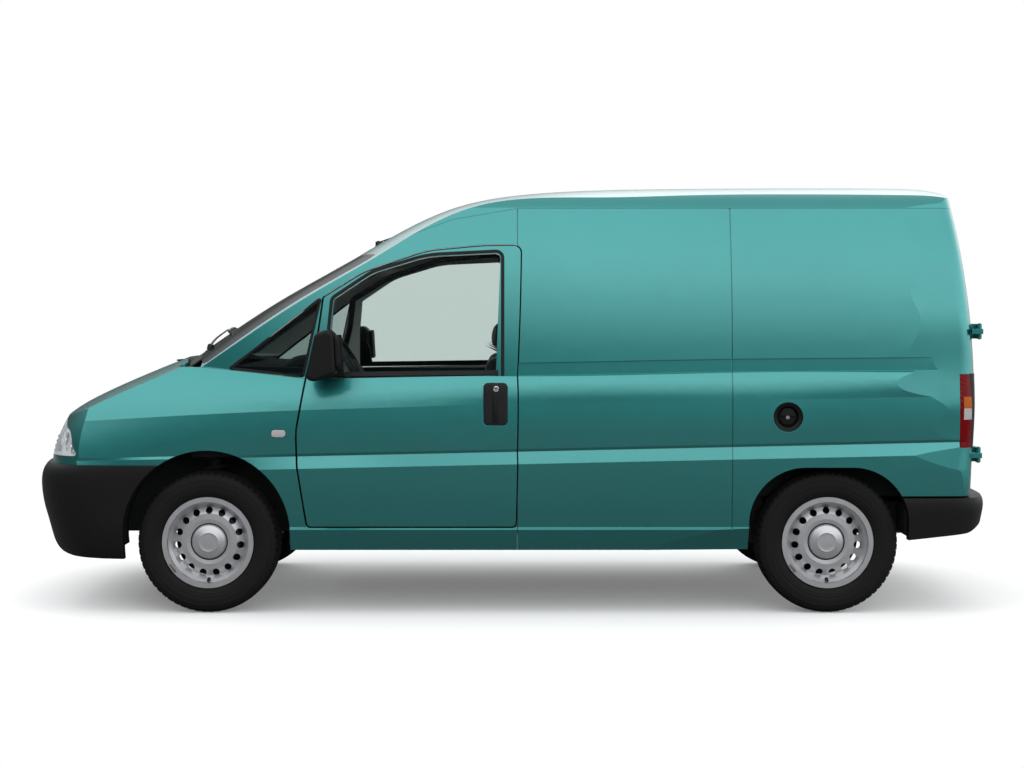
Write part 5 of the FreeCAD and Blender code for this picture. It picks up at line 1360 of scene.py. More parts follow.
@dataclass
class Lining(SidePart):
    """Pale trim on a cab door's inner faces, and the seal round the door's opening."""

    door_front: float = 961.0
    door_rear: float = -32.0
    door_bottom: float = 399.0
    door_top: float = 1673.0
    belt: float = 1070.0

    def build(self) -> None:
        """Make the lining and the seal."""
        piece = self.piece("inner_lining_cab_door", "door", "cabin_plastic")
        piece.add(inner_faces(self.node("cab_door"), lowest=self.belt), self.shop.lining).made()
        self._seal()

    def _seal(self) -> None:
        """The black seal that closes the gap round the door from inside."""
        front, bottom, top, rear = self.door_front, self.door_bottom, self.door_top, self.door_rear
        corners = [(front - 47, bottom, 18), (front - 4, bottom + 278, 300), (front, bottom + 430, 300),
                   (front - 43, bottom + 676, 400), (front - 98, bottom + 883, 200),
                   (front - 119, bottom + 1039, 20), (front - 301, top - 122, 300),
                   (front - 589, top - 24, 500), (front - 850, top, 900), (rear - 8, top + 1, 30),
                   (rear, bottom, 16)]
        outline = grown_outline(rounded_outline(corners, 6), -6.0)
        piece = self.piece("door_opening_seal", "body", "trim_plastic")
        band = [(-8, 0.6), (22, 0.6), (22, 3.2), (8, 5), (-8, 3.2)]
        skin = Skin(self.node("cab_door"))
        piece.add(laid_ring(skin, outline, self.side.inside, band, 26.0), self.shop.seal).made()


def inner_faces(node: str, back: float = -9000.0, lowest: float = -9000.0, thickness: float = 1.2) -> Form:
    """A thin sheet over the faces of a node that look at the cab's middle.

    Args:
        node: the node.
        back: the farthest back that is covered, in millimetres.
        lowest: the lowest height that is covered.
        thickness: the sheet's thickness, in millimetres.
    Returns:
        The sheet, just clear of the node.
    """
    form = Form.of_node(node)
    form.split((back, 0, 0), (1, 0, 0))
    form.split((0, 0, lowest), (0, 0, 1))
    form.bm.normal_update()
    gone = []
    for face in form.bm.faces:
        middle = face.calc_center_median()
        toward = (vec(*CAB_MIDDLE) - middle).normalized()
        if (face.normal.dot(toward) < 0.3 or abs(face.normal.x) > 0.7 or middle.x < back * MM
                or middle.z < lowest * MM):
            gone.append(face)
    bmesh.ops.delete(form.bm, geom=gone, context="FACES")
    form.bm.normal_update()
    for vert in form.bm.verts:
        vert.co += vert.normal * 0.5 * MM
    bmesh.ops.solidify(form.bm, geom=list(form.bm.faces), thickness=-thickness * MM)
    return form


@dataclass
class Headliner:
    """Pale trim under the cab's roof and inside its frame."""

    shop: Workshop

    def build(self) -> None:
        """Make the linings."""
        for node in ("roof_panel", "cab_frame"):
            piece = Piece(f"inner_lining_{node}", "body", "cabin_plastic")
            piece.add(inner_faces(node, -60.0, 1060.0), self.shop.lining).made()


@dataclass
class SlidingDoorTrim:
    """The sliding door's handle, its rail cover and the rollers' bracket, on the right side."""

    shop: Workshop
    rail_height: float = 1142.0

    def build(self) -> None:
        """Make the rail, the handle and the bracket."""
        shop, side = self.shop, Side.RIGHT
        rail = Piece("sliding_door_rail", "body", "trim_plastic")
        height = self.rail_height
        run = [(-1050, height), (-1990, height)]
        groove = [(-11, -4), (11, -4), (11, 0.4), (8, 1), (6, 0.6), (-6, 0.6), (-8, 1), (-11, 0.4)]
        rail.add(laid_ring(Skin("load_side_right"), run, side.outside, groove, 60.0, False), shop.seal).made()
        place, _ = Skin("sliding_door").met(side.outside, -170, 950)
        face = abs(place.y) / MM
        piece = Piece("sliding_door_handle", "body", "trim_plastic")
        plate = rounded_box((-225, 862), (-116, 1048), 18)
        forms = [(Form.plate(plate, "y", face - 8, face + 2.5, 2.0, 3), shop.trim)]
        lever = rounded_outline([(-186, 876, 6), (-156, 876, 6), (-158, 1006, 8), (-184, 1006, 8)], 4)
        forms.append((Form.plate(lever, "y", face - 2, face + 16, 6.0, 3), shop.bumper))
        lock = [(0, 0), (12.2, 0), (13.2, 3), (12.4, 4.6), (0, 4.2)]
        forms.append((Form.turned(lock, (-170, face + 1, 1028), (0, 1, 0), 32), shop.chrome))
        for form, finish in forms:
            piece.add(form.flipped(), finish)
        bracket = Form.block((-1000, face - 4, height - 12), (-930, face + 1.6, height + 12), 3, 2)
        piece.add(bracket.flipped(), shop.seal).made()


# The van's two ends

@dataclass
class Headlamps:
    """Both headlamps: a thin clear cover, bright bowls behind it and a pale housing."""

    shop: Workshop
    bowls: tuple[Place, ...] = ((590, 775, 60), (712, 772, 48), (790, 752, 30))
    flasher_below: float = 40.0
    cover_gap: float = 16.0
    depth: float = 78.0
    lens_aim: Place = (0.78, 0.52, 0.35)

    def build(self) -> None:
        """Make the cover, the housing, the bowls and their bulbs."""
        shop = self.shop
        piece = Piece("headlamp_units", "body", "lamp_clear")
        piece.add(Form.of_node("headlamps"), shop.clear)
        housing = Form.of_node("headlamps").cut_below((0, 0, 0), (0, 1, 0))
        skin = Skin("headlamps")
        front, _ = skin.met(FROM_AHEAD, 650, 790)
        back = front / MM - Vector(self.lens_aim) * self.depth
        housing.cut_below(tuple(back), tuple(-value for value in self.lens_aim))
        housing.stretched(0.985, 0.985, 0.97, (2000, 680, 790))
        piece.add(housing, shop.wheel, True)
        shares = [(0.88, 0.32), (0.6, 0.62), (0.25, 0.78), (0.0, 0.8), (0.0, 0.72), (0.24, 0.7), (0.57, 0.55),
                  (0.84, 0.28), (0.95, 0.0)]
        for y, z, radius in self.bowls:
            edge, _ = skin.met(FROM_AHEAD, y + radius * 0.9, z)
            rim = edge.x / MM - self.cover_gap
            bowl = [(radius, 0.0), (radius, -4.0), *((radius * out, -radius * deep) for out, deep in shares)]
            piece.add(Form.turned(bowl, (rim, y, z), (1, 0, 0), 48), shop.chrome, True)
            bulb = [(0.0, -radius * 0.7), (7.0, -radius * 0.7), (8.0, -radius * 0.4), (6.5, -radius * 0.2),
                    (0.0, -radius * 0.12)]
            glow = shop.amber if radius < self.flasher_below else shop.white
            piece.add(Form.turned(bulb, (rim, y, z), (1, 0, 0), 20), glow, True)
        piece.made("headlamps")


@dataclass
class TailLamps:
    """Both tail lamps in red, amber and white bands, each in a black gasket."""

    shop: Workshop
    bands: tuple[float, ...] = (884.6, 935.3, 988.7)
    strip_back: float = -2062.0
    middle: float = 842.0

    def build(self) -> None:
        """Cut a copy of the lamps into bands, and add the gaskets."""
        lens = Form.of_node("tail_lamps")
        for z in self.bands:
            lens.split((0, 0, z), (0, 0, 1))
        lens.split((self.strip_back, 0, 0), (1, 0, 0))
        piece = Piece("tail_lamp_lenses", "body", "lamp_red")
        piece.add(lens, self._finish)
        low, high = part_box("tail_lamps")
        for sign in (1, -1):
            gasket = Form.of_node("tail_lamps").cut_below((0, 0, 0), (0, sign, 0))
            centre = ((low.x + high.x) / 2 / MM, sign * self.middle, (low.z + high.z) / 2 / MM)
            gasket.stretched(1.05, 0.95, 1.018, centre)
            piece.add(gasket, self.shop.seal)
        piece.made("tail_lamps")

    def _finish(self, place: Vector) -> Material:
        """The band's colour at a place of the lamp.

        Args:
            place: the middle of a face, in millimetres.
        Returns:
            The lens finish.
        """
        white, amber, red = self.bands
        if place.x > self.strip_back or not white < place.z < red:
            return self.shop.red
        return self.shop.white if place.z < amber else self.shop.amber


@dataclass
class FrontEnd:
    """The grille's slats, the blank number plate, the lower intake and the washer jets."""

    shop: Workshop
    slats: tuple[float, ...] = (694.0, 716.0, 738.0, 760.0, 782.0)
    plate_half: float = 260.0
    plate_height: float = 548.0
    foremost: float = 2220.6
    intake: tuple[float, ...] = (322.0, 352.0, 382.0, 412.0, 442.0)
    slat_front: float = 2118.0
    slat_height: float = 380.0
    slat_lean: float = 0.22
    slat_curve: float = 9e-5

    def build(self) -> None:
        """Make every piece of the front."""
        shop = self.shop
        slats = Piece("grille_slats", "body", "trim_plastic")
        skin = Skin("grille")
        bar = [(-5, -4), (5, -4), (5.5, 3), (3, 7), (-3, 8.5), (-5.5, 4)]
        for z in self.slats:
            slats.add(laid_ring(skin, [(-480, z), (480, z)], FROM_AHEAD, bar, 30.0, False), shop.trim)
        slats.made()
        bumper = Skin("front_bumper")
        plate = Piece("front_number_plate", "body", "trim_plastic")
        holder = [(-61, -1), (61, -1), (61, 0.8), (59, 1.8), (-59, 1.8), (-61, 0.8)]
        blank = [(-55.5, 0), (55.5, 0), (55.5, 2.6), (54, 3.2), (-54, 3.2), (-55.5, 2.6)]
        for half, section, limit, finish in ((self.plate_half + 6, holder, self.foremost - 0.6, shop.trim),
                                             (self.plate_half, blank, self.foremost, shop.plate)):
            line = [(-half, self.plate_height), (half, self.plate_height)]
            form = laid_ring(bumper, line, FROM_AHEAD, section, 30.0, False)
            form.bent(lambda co: Vector((min(co.x, limit * MM), co.y, co.z)))
            plate.add(form, finish)
        plate.made()
        self._intake()
        self._washer_jets()

    def _intake(self) -> None:
        """The slats, the uprights and the dark plate in the bumper's opening, set back from its face."""
        piece = Piece("air_intake_slats", "body", "trim_plastic")
        for z in self.intake:
            middle = self.slat_front + (z - self.slat_height) * self.slat_lean
            frames = []
            for y in (-470.0, -300.0, -150.0, 0.0, 150.0, 300.0, 470.0):
                frame = Matrix.Rotation(math.radians(-90.0), 4, "X")
                frame.translation = vec(middle - y * y * self.slat_curve, y, z)
                frames.append(frame)
            blade = [(-16, -3), (14, -1.5), (16, 0), (14, 1.5), (-16, 3)]
            piece.add(Form.swept(blade, frames, False), self.shop.trim)
        for y in (-235, 0, 235):
            piece.add(Form.block((2094, y - 4, 300), (2106, y + 4, 470), 1.5, 2), self.shop.trim)
        piece.add(Form.block((2030, -590, 242), (2042, 590, 492), 3, 2), self.shop.seal).made()

    def _washer_jets(self) -> None:
        """The two washer jets on the bonnet's rear."""
        jets = Piece("washer_jets", "bonnet", "trim_plastic")
        skin = Skin("bonnet")
        for y in (-300, 300):
            place, _ = skin.met(ONTO_BONNET, 1590, y)
            jet = Form.block((-16, -11, -3), (16, 11, 8), 3.5, 3)
            jet.bent(lambda co: Vector((co.x, co.y, co.z * (1.0 - max(0.0, co.x) * 22.0))))
            jet.moved(place.x / MM, y, place.z / MM)
            jets.add(jet, self.shop.trim)
        jets.made()


@dataclass
class Wipers:
    """The two windscreen wipers, parked along the foot of the glass."""

    shop: Workshop
    pivots: tuple[Point, ...] = ((1462, 420), (1480, -170))
    blade_half: float = 270.0
    reach: float = 330.0

    def build(self) -> None:
        """Make the arms, the blades and the pivots' caps."""
        shop = self.shop
        piece = Piece("windscreen_wipers", "body", "trim_plastic")
        glass = Skin("windscreen", "scuttle_panel")
        rubber = [(-2, 0.3), (2, 0.3), (3.2, 9), (6, 13), (-6, 13), (-3.2, 9)]
        spine = [(-4, 13.2), (4, 13.2), (3, 20), (-3, 20)]
        for pivot_x, pivot_y in self.pivots:
            middle = pivot_y - self.reach
            ends = [(self._foot(y), y) for y in (middle + self.blade_half, middle - self.blade_half)]
            for section, finish in ((rubber, shop.seal), (spine, shop.trim)):
                piece.add(laid_ring(glass, ends, ONTO_WINDSCREEN, section, 40.0, False), finish)
            root = glass.met(ONTO_WINDSCREEN, pivot_x - 36, pivot_y)[0] / MM
            tip, normal = glass.met(ONTO_WINDSCREEN, self._foot(middle), middle)
            tip = tip / MM + normal * 25.0
            bend = (root * 0.55 + tip * 0.45) + normal * 12.0
            line = [(root.x, root.y, root.z + 14), tuple(bend), tuple(tip)]
            piece.add(Form.cable(line, 6.0, 8, 0.6), shop.trim)
            cap = [(0, 24), (11, 23), (15, 16), (16, -4), (0, -4)]
            piece.add(Form.turned(cap, tuple(root), (-0.2, 0, 1), 24), shop.trim)
        piece.made()

    @staticmethod
    def _foot(y: float) -> float:
        """How far forward the blades lie, in millimetres, at a place across the glass."""
        return 1378.0 - (y / 700.0) ** 2 * 150.0


@dataclass
class Aerial:
    """The roof aerial: a small foot and a thin rod lying back."""

    shop: Workshop
    x: float = 640.0
    rod: float = 420.0

    def build(self) -> None:
        """Make the foot and the rod."""
        place, normal = Skin("roof_panel", "cab_frame").met(ONTO_ROOF, self.x, 0)
        foot = place / MM
        piece = Piece("roof_aerial", "body", "trim_plastic")
        base = [(0, 24), (7, 22), (12, 12), (19, 3), (20, -3), (0, -3)]
        mast = Form.turned(base, tuple(foot), tuple(normal), 24)
        mast.stretched(1.6, 0.9, 1.0, tuple(foot))
        piece.add(mast, self.shop.trim)
        slope = Vector((-1.0, 0.0, 0.36)).normalized()
        start = foot + Vector((0, 0, 17))
        line = [tuple(start + slope * self.rod * share) for share in (0.0, 0.5, 1.0)]
        piece.add(Form.cable(line, 3.4, 8, 0.5), self.shop.seal).made()


@dataclass
class RearDoorTrim(SidePart):
    """What each tail door carries: pressed panels, seals, the handle and the plate."""

    def build(self) -> None:
        """Make the door's pressings and its fittings."""
        shop, sign = self.shop, self.side.value
        skin = Skin(self.node("rear_door"))
        piece = self.piece("rear_door_pressings", "rear_door", "body_paint")
        bead = [(-11, -3), (11, -3), (8, 1.5), (3, 4.2), (-3, 4.2), (-8, 1.5)]
        upper = rounded_outline([(95, 1160, 60), (640, 1160, 60), (560, 1660, 70), (95, 1660, 60)], 6)
        lower = rounded_outline([(95, 620, 50), (650, 620, 50), (660, 930, 50), (95, 930, 50)], 6)
        for outline in (upper, lower):
            placed = [(sign * u, v) for u, v in outline]
            piece.add(laid_ring(skin, placed, FROM_BEHIND, bead, 40.0), shop.paint)
        piece.made()
        seal = self.piece("rear_door_seal", "rear_door", "trim_plastic")
        if self.side is Side.RIGHT:
            lap = [(-9, -8), (9, -8), (9, 0.5), (5, 2.5), (-5, 2.5), (-9, 0.5)]
            seal.add(laid_ring(skin, [(-12, 560), (-12, 1800)], FROM_BEHIND, lap, 60.0, False), shop.seal)
            self._handle(seal, skin)
        else:
            self._plate(seal, skin)
        seal.made()

    def _handle(self, piece: Piece, skin: Skin) -> None:
        """The black handle with its lock on the door that opens first."""
        place, _ = skin.met(FROM_BEHIND, -75, 1030)
        face = place.x / MM
        plate = rounded_box((-118, 950), (-34, 1110), 16, 5)
        piece.add(Form.plate(plate, "x", face - 3, face + 6, 2.5, 3), self.shop.trim)
        piece.add(Form.block((face - 16, -96, 975), (face - 3, -58, 1060), 5, 3), self.shop.bumper)
        lock = [(0, 0), (11, 0), (12, 3), (10, 4.5), (0, 4)]
        piece.add(Form.turned(lock, (face - 2, -76, 1085), (-1, 0, 0), 24), self.shop.chrome)

    def _plate(self, piece: Piece, skin: Skin) -> None:
        """The blank number plate and the lamp bar above it."""
        place, _ = skin.met(FROM_BEHIND, 370, 800)
        face = place.x / MM
        holder = [(-61, -6), (61, -6), (61, 3), (59, 4.5), (-59, 4.5), (-61, 3)]
        blank = [(-55.5, -6), (55.5, -6), (55.5, 5), (54, 6), (-54, 6), (-55.5, 5)]
        for half, section, finish in ((266.0, holder, self.shop.trim), (260.0, blank, self.shop.plate)):
            run = [(374.0 - half, 779.0), (374.0 + half, 779.0)]
            piece.add(laid_ring(skin, run, FROM_BEHIND, section, 30.0, False), finish)
        piece.add(Form.block((face - 22, 190, 846), (face + 12, 560, 880), 6, 3), self.shop.trim)
        for y in (260, 420):
            piece.add(Form.block((face - 17, y, 843), (face, y + 70, 850), 2, 2), self.shop.white)


# The cabin

def stuffed(form: Form, name: str, pressure: float = 4.0, cap: float = 12.0, voxel: float = 8.0) -> Form:
    """Swell a form as stuffed fabric does.

    Args:
        form: the form, a little smaller than the finished pad.
        name: a name for the work in hand.
        pressure: the pressure inside.
        cap: the farthest that a point may move, in millimetres.
        voxel: the mesh's pitch, in millimetres.
    Returns:
        The swollen form.
    """
    scene = bpy.context.scene
    mesh = bpy.data.meshes.new(name)
    form.bm.to_mesh(mesh)
    form.bm.free()
    thing = bpy.data.objects.new(name, mesh)
    scene.collection.objects.link(thing)
    even = thing.modifiers.new("even", "REMESH")
    even.mode = "VOXEL"
    even.voxel_size = voxel * MM
    mesh = baked(thing)
    start = [vert.co.copy() for vert in mesh.vertices]
    cloth = thing.modifiers.new("stuffing", "CLOTH")
    cloth.settings.use_pressure = True
    cloth.settings.uniform_pressure_force = pressure
    cloth.settings.effector_weights.gravity = 0.0
    cloth.settings.quality = 4
    cloth.point_cache.frame_start = 1
    cloth.point_cache.frame_end = SETTLING_FRAMES
    for frame in range(1, SETTLING_FRAMES + 1):
        scene.frame_set(frame)
    mesh = baked(thing)
    scene.frame_set(1)
    for vert, before in zip(mesh.vertices, start):
        shift = vert.co - before
        if shift.length > cap * MM:
            vert.co = before + shift.normalized() * cap * MM
    result = Form()
    result.bm.from_mesh(mesh)
    bpy.data.objects.remove(thing)
    return result


def baked(thing: bpy.types.Object) -> bpy.types.Mesh:
    """Apply an object's modifiers.

    Args:
        thing: the object.
    Returns:
        Its mesh with every modifier applied.
    """
    graph = bpy.context.evaluated_depsgraph_get()
    mesh = bpy.data.meshes.new_from_object(thing.evaluated_get(graph))
    thing.modifiers.clear()
    thing.data = mesh
    return mesh


@dataclass
class Seats:
    """Both cab seats: a padded cushion, back and head rest on a steel foot."""

    shop: Workshop
    inner: float = 166.0
    outer: float = 624.0
    seam_out: float = 128.0
    seam_depth: float = 7.0
    seam_width: float = 9.0
    cushion_seam: float = 300.0
    back_seam: float = 1020.0
    rest_half: float = 118.0
    rest_seam: float = 20.0
    cushion: tuple[Corner, ...] = ((198, 612, 14), (536, 606, 14), (584, 628, 14), (560, 716, 30),
                                   (204, 716, 30))
    back: tuple[Corner, ...] = ((140, 664, 14), (12, 1166, 30), (88, 1162, 30), (206, 690, 24))
    rest: tuple[Corner, ...] = ((20, 1204, 16), (26, 1316, 18), (68, 1316, 18), (82, 1208, 16))

    @property
    def middle(self) -> float:
        """The middle of the left seat, across the van."""
        return (self.inner + self.outer) / 2

    def build(self) -> None:
        """Make the pads and the foot."""
        across = (self.inner, self.outer)
        self._pad("cushion", self.cushion, across, lambda co: abs(co.x - self.cushion_seam * MM))
        self._pad("back", self.back, across, lambda co: abs(co.z - self.back_seam * MM))
        self._pad("head_rest", self.rest, (self.middle - self.rest_half, self.middle + self.rest_half), None)
        self._foot()

    def _pad(self, name: str, outline: Sequence[Place], across: Point,
             cross: Callable[[Vector], float] | None) -> None:
        """Make one pad for both seats.

        Args:
            name: what the pad is.
            outline: its (x, z, radius) corners, in millimetres.
            across: its inner and outer edge.
            cross: how far a point lies from the seam that runs across, in metres.
        """
        raw = Form.plate(rounded_outline(outline, 5), "y", across[0], across[1], 12.0, 3)
        form = stuffed(raw, name, cap=11.0)
        form.bm.normal_update()
        width = self.seam_width * MM
        for vert in form.bm.verts:
            gaps = [abs(abs(vert.co.y - self.middle * MM) - self.seam_out * MM)]
            if cross is None:
                gaps = [abs(vert.co.y - (across[0] + self.rest_seam) * MM),
                        abs(vert.co.y - (across[1] - self.rest_seam) * MM)]
            elif abs(vert.co.y / MM - self.middle) < self.seam_out:
                gaps.append(cross(vert.co))
            press = sum(math.exp(-(gap / width) ** 2) for gap in gaps)
            depth = self.seam_depth * MM * (0.5 if cross is None else 1.0)
            vert.co -= vert.normal * min(1.0, press) * depth
        for side in Side:
            half = form.flipped()
            if side is Side.LEFT:
                half = half.flipped()
            piece = Piece(f"seat_{name}_{side.word}", "body", "seat_cloth")
            thing = piece.add(half, self._fabric).made(sharp=60.0)
            smooth = thing.modifiers.new("smooth", "SUBSURF")
            smooth.levels = smooth.render_levels = 1
        form.bm.free()

    def _fabric(self, place: Vector) -> Material:
        """Patterned cloth between the side seams, plain cloth outside them."""
        return self.shop.cloth if abs(abs(place.y) - self.middle) < self.seam_out else self.shop.side_cloth

    def _foot(self) -> None:
        """The boxes under the seats, their rails, levers and the head rests' posts."""
        shop = self.shop
        piece = Piece("seat_frames", "body", "cabin_plastic")
        piece.add(Form.block((172, 186, 396), (520, 604, 560), 14, 3), shop.cabin, True)
        piece.add(Form.block((160, 176, 566), (556, 614, 606), 12, 3), shop.trim, True)
        for y in (212, 578):
            piece.add(Form.block((150, y - 14, 548), (548, y + 14, 574), 3, 2), shop.pipe, True)
        for y in (self.middle - 60, self.middle + 60):
            piece.add(Form.cable([(40, y, 1150), (46, y, 1180), (50, y, 1215)], 6.0, 10), shop.pipe, True)
        shell = [(136, 640, 20), (4, 1170, 34), (20, 1176, 6), (148, 668, 6)]
        sheet = Form.plate(rounded_outline(shell, 4), "y", self.inner + 18, self.outer - 18, 6.0, 3)
        piece.add(sheet, shop.cabin, True)
        lever = [(150, self.outer - 6, 660), (196, self.outer + 8, 668), (256, self.outer + 10, 660)]
        piece.add(Form.cable(lever, 9.0, 10), shop.trim, True)
        piece.made("seats")


@dataclass
class Dashboard:
    """The instrument hood, vents, radio, heater knobs, levers, pedals, sun visors and inner mirror."""

    shop: Workshop
    wheel_y: float = 380.0
    dial: float = 24.0
    vents: tuple[float, ...] = (610, 90, -90, -610)
    vent_height: float = 1010.0
    vent_half: Point = (62, 30)

    def build(self) -> None:
        """Make what stands on and under the dashboard."""
        shop = self.shop
        skin = Skin("dashboard")
        piece = Piece("dashboard_fittings", "body", "cabin_plastic")
        hood = [(884, 1096, 6), (900, 1172, 18), (1010, 1164, 40), (1070, 1116, 20), (1040, 1096, 6)]
        middle = self.wheel_y
        piece.add(Form.plate(rounded_outline(hood, 5), "y", middle - 168, middle + 168, 24, 4), shop.cabin)
        piece.add(Form.block((880, middle - 142, 1104), (892, middle + 142, 1158), 5, 2), shop.seal)
        ring = [(self.dial - 2, 0.0), (self.dial, 4.0), (self.dial + 2, 0.0), (self.dial, -3.0)]
        for y in (middle - 80, middle, middle + 80):
            piece.add(Form.turned(ring, (880, y, 1131), (-1, 0, 0.15), 32), shop.pipe)
        edge = [(-4, -2), (4, -2), (4, 4), (-4, 4)]
        (half, tall), z = self.vent_half, self.vent_height
        for y in self.vents:
            box = rounded_box((y - half, z - tall), (y + half, z + tall), 10, 3)
            piece.add(laid_ring(skin, box, FROM_SEATS, edge), shop.trim)
            for step in (-16, 0, 16):
                line = [(y - half + 6, z + step), (y + half - 6, z + step)]
                piece.add(laid_ring(skin, line, FROM_SEATS, edge, 40.0, False), shop.seal)
        knob = [(0, 14), (12, 13), (14.5, 8), (15, 0), (0.0, 0.0)]
        for low, high, finish in ((932, 976, shop.seal), (872, 916, shop.trim)):
            place, _ = skin.met(FROM_SEATS, 0, (low + high) / 2)
            x = place.x / MM
            piece.add(Form.block((x - 8, -92, low), (x + 16, 92, high), 3, 2), finish)
            for y in (-60, 0, 60):
                piece.add(Form.turned(knob, (x - 7, y, (low + high) / 2), (-1, 0, 0), 24), shop.cabin)
        locker = rounded_box((-580, 800), (-200, 940), 14, 4)
        lip = [(-2, -1), (2, -1), (2, 1.6), (-2, 1.6)]
        piece.add(laid_ring(skin, locker, FROM_SEATS, lip), shop.seal).made()
        self._levers()
        self._overhead()

    def _levers(self) -> None:
        """The gear lever, the handbrake, the stalks and the pedals."""
        shop = self.shop
        piece = Piece("levers_and_pedals", "body", "cabin_plastic")
        boot = [(0, 92), (16, 90), (24, 66), (30, 60), (36, 36), (46, 30), (62, 4), (62, 0), (0.0, 0.0)]
        piece.add(Form.turned(boot, (590, 40, 392), (0, 0, 1), 28), shop.seal)
        piece.add(Form.cable([(590, 40, 470), (582, 44, 600), (560, 48, 720)], 7.0, 10), shop.pipe)
        knob = [(0, 46), (14, 43), (22, 32), (23, 20), (16, 6), (10, 0), (0.0, 0.0)]
        piece.add(Form.turned(knob, (561, 48, 712), (-0.1, 0, 1), 24), shop.cabin)
        piece.add(Form.block((150, -22, 392), (430, 22, 452), 12, 3), shop.cabin)
        piece.add(Form.cable([(200, 0, 450), (300, 0, 486), (430, 0, 520)], 11.0, 12), shop.trim)
        for y, width in ((300, 30), (388, 32), (470, 32)):
            piece.add(Form.cable([(960, y, 700), (956, y, 600), (930, y, 500)], 6.0, 8), shop.trim)
            piece.add(Form.block((918, y - width, 462), (930, y + width, 522), 4, 2), shop.seal)
        for sign in (1, -1):
            stalk = [(800, self.wheel_y, 1030), (786, self.wheel_y + sign * 110, 1052),
                     (770, self.wheel_y + sign * 190, 1078)]
            piece.add(Form.cable(stalk, 8.0, 10, 0.7), shop.trim)
        piece.made()

    def _overhead(self) -> None:
        """The sun visors and the mirror on the windscreen."""
        shop = self.shop
        piece = Piece("visors_and_mirror", "body", "cabin_plastic")
        roof = Skin("roof_panel", "cab_frame")
        for y in (340, -340):
            place, _ = roof.met(UNDER_ROOF, 560, y)
            visor = Form.block((-90, -190, -11), (90, 190, 11), 9, 3).turned_by(14, "Y", (0, 0, 0))
            piece.add(visor.moved(560, y, place.z / MM - 34), shop.side_cloth)
        foot = Skin("windscreen").met(UNDER_WINDSCREEN, 820, 0)[0] / MM
        stem = [tuple(foot + Vector(step)) for step in ((0, 0, -2), (-16, 0, -30), (-48, 0, -62))]
        piece.add(Form.cable(stem, 7.0, 10), shop.trim)
        shell = Form.block((-14, -122, -32), (14, 122, 32), 11, 4)
        piece.add(shell.moved(*stem[-1]), shop.trim)
        face = Form.block((-16, -112, -24), (-10, 112, 24), 5, 2)
        piece.add(face.moved(*stem[-1]), shop.chrome).made()


@dataclass
class SteeringTrim:
    """The horn pad on the steering wheel."""

    shop: Workshop
    centre: Place = (722, 380, 1078)
    axis: Place = (-0.864275, 0.0, 0.503020)

    def build(self) -> None:
        """Make the pad."""
        piece = Piece("steering_wheel_pad", "steering_wheel", "cabin_plastic")
        pad = [(0, 26), (44, 25), (66, 20), (74, 10), (74, 2), (0, 2)]
        form = Form.turned(pad, self.centre, self.axis, 40).stretched(1.0, 1.25, 1.0, self.centre)
        piece.add(form, self.shop.cabin).made()


@dataclass
class DoorCard(SidePart):
    """A cab door's inner lining with its armrest, pocket, winder and speaker."""

    def build(self) -> None:
        """Make the lining and its fittings."""
        shop = self.shop
        skin = Skin(self.node("cab_door"))
        spots = [skin.met(self.side.inside, x, z) for x in (200, 700) for z in (560, 980)]
        face = min(abs(spot[0].y) for spot in spots if spot) / MM
        piece = self.piece("door_card", "door", "cabin_plastic")
        card = rounded_outline([(90, 470, 40), (840, 470, 60), (800, 1030, 60), (70, 1040, 40)], 5)
        rest = rounded_outline([(140, 800, 20), (560, 800, 30), (540, 870, 24), (140, 862, 24)], 4)
        pocket = rounded_outline([(150, 500, 20), (720, 500, 30), (700, 610, 24), (150, 610, 24)], 4)
        speaker = [(0, 6), (60, 5), (72, 0), (72, -4), (0, -4)]
        winder = [(300, face - 10, 700), (300, face - 24, 700), (340, face - 26, 660), (380, face - 26, 630)]
        for form, finish in (
            (Form.plate(card, "y", face - 5, face + 12, 4, 2), shop.cabin),
            (Form.plate(rest, "y", face - 44, face, 12, 3), shop.side_cloth),
            (Form.plate(pocket, "y", face - 34, face, 8, 3), shop.cabin),
            (Form.turned(speaker, (700, face - 5, 700), (0, -1, 0), 40), shop.trim),
            (Form.cable(winder, 8.0, 10), shop.trim),
            (Form.block((600, face - 18, 900), (680, face, 930), 6, 3), shop.trim),
        ):
            piece.add(self.own(form), finish)
        piece.made()


@dataclass
class Belts(SidePart):
    """The seat belts on the door pillars."""

    x: float = -28.0
    low: float = 600.0
    high: float = 1480.0
    run_in: float = 60.0

    def build(self) -> None:
        """Make the strap, the trim of the pillar that it hangs on, its guide and its reel cover."""
        shop, x, low, high = self.shop, self.x, self.low, self.high
        piece = self.piece("seat_belt", "body", "seat_cloth")
        post = [(-64, low - 40, 20), (24, low - 40, 20), (10, high + 60, 16), (-54, high + 60, 16)]
        guide = [(0, 16), (16, 15), (26, 10), (28, 0), (0.0, 0.0)]
        lean = self.run_in / (high - low)
        for form, finish in (
            (Form.plate(rounded_outline(post, 4), "y", 800, 822, 8, 3), shop.cabin),
            (Form.block((x - 23, 794, low), (x + 23, 796, high), 0.6, 1), shop.side_cloth),
            (Form.turned(guide, (x, 802, high), (0, -1, 0), 28), shop.trim),
            (Form.block((x - 40, 772, low - 30), (x + 40, 812, low + 90), 12, 3), shop.cabin),
        ):
            form.bent(lambda co: Vector((co.x, co.y - max(0.0, co.z - 1.0) * lean * 1.6, co.z)))
            piece.add(self.own(form), finish)
        piece.made()


# Under the van

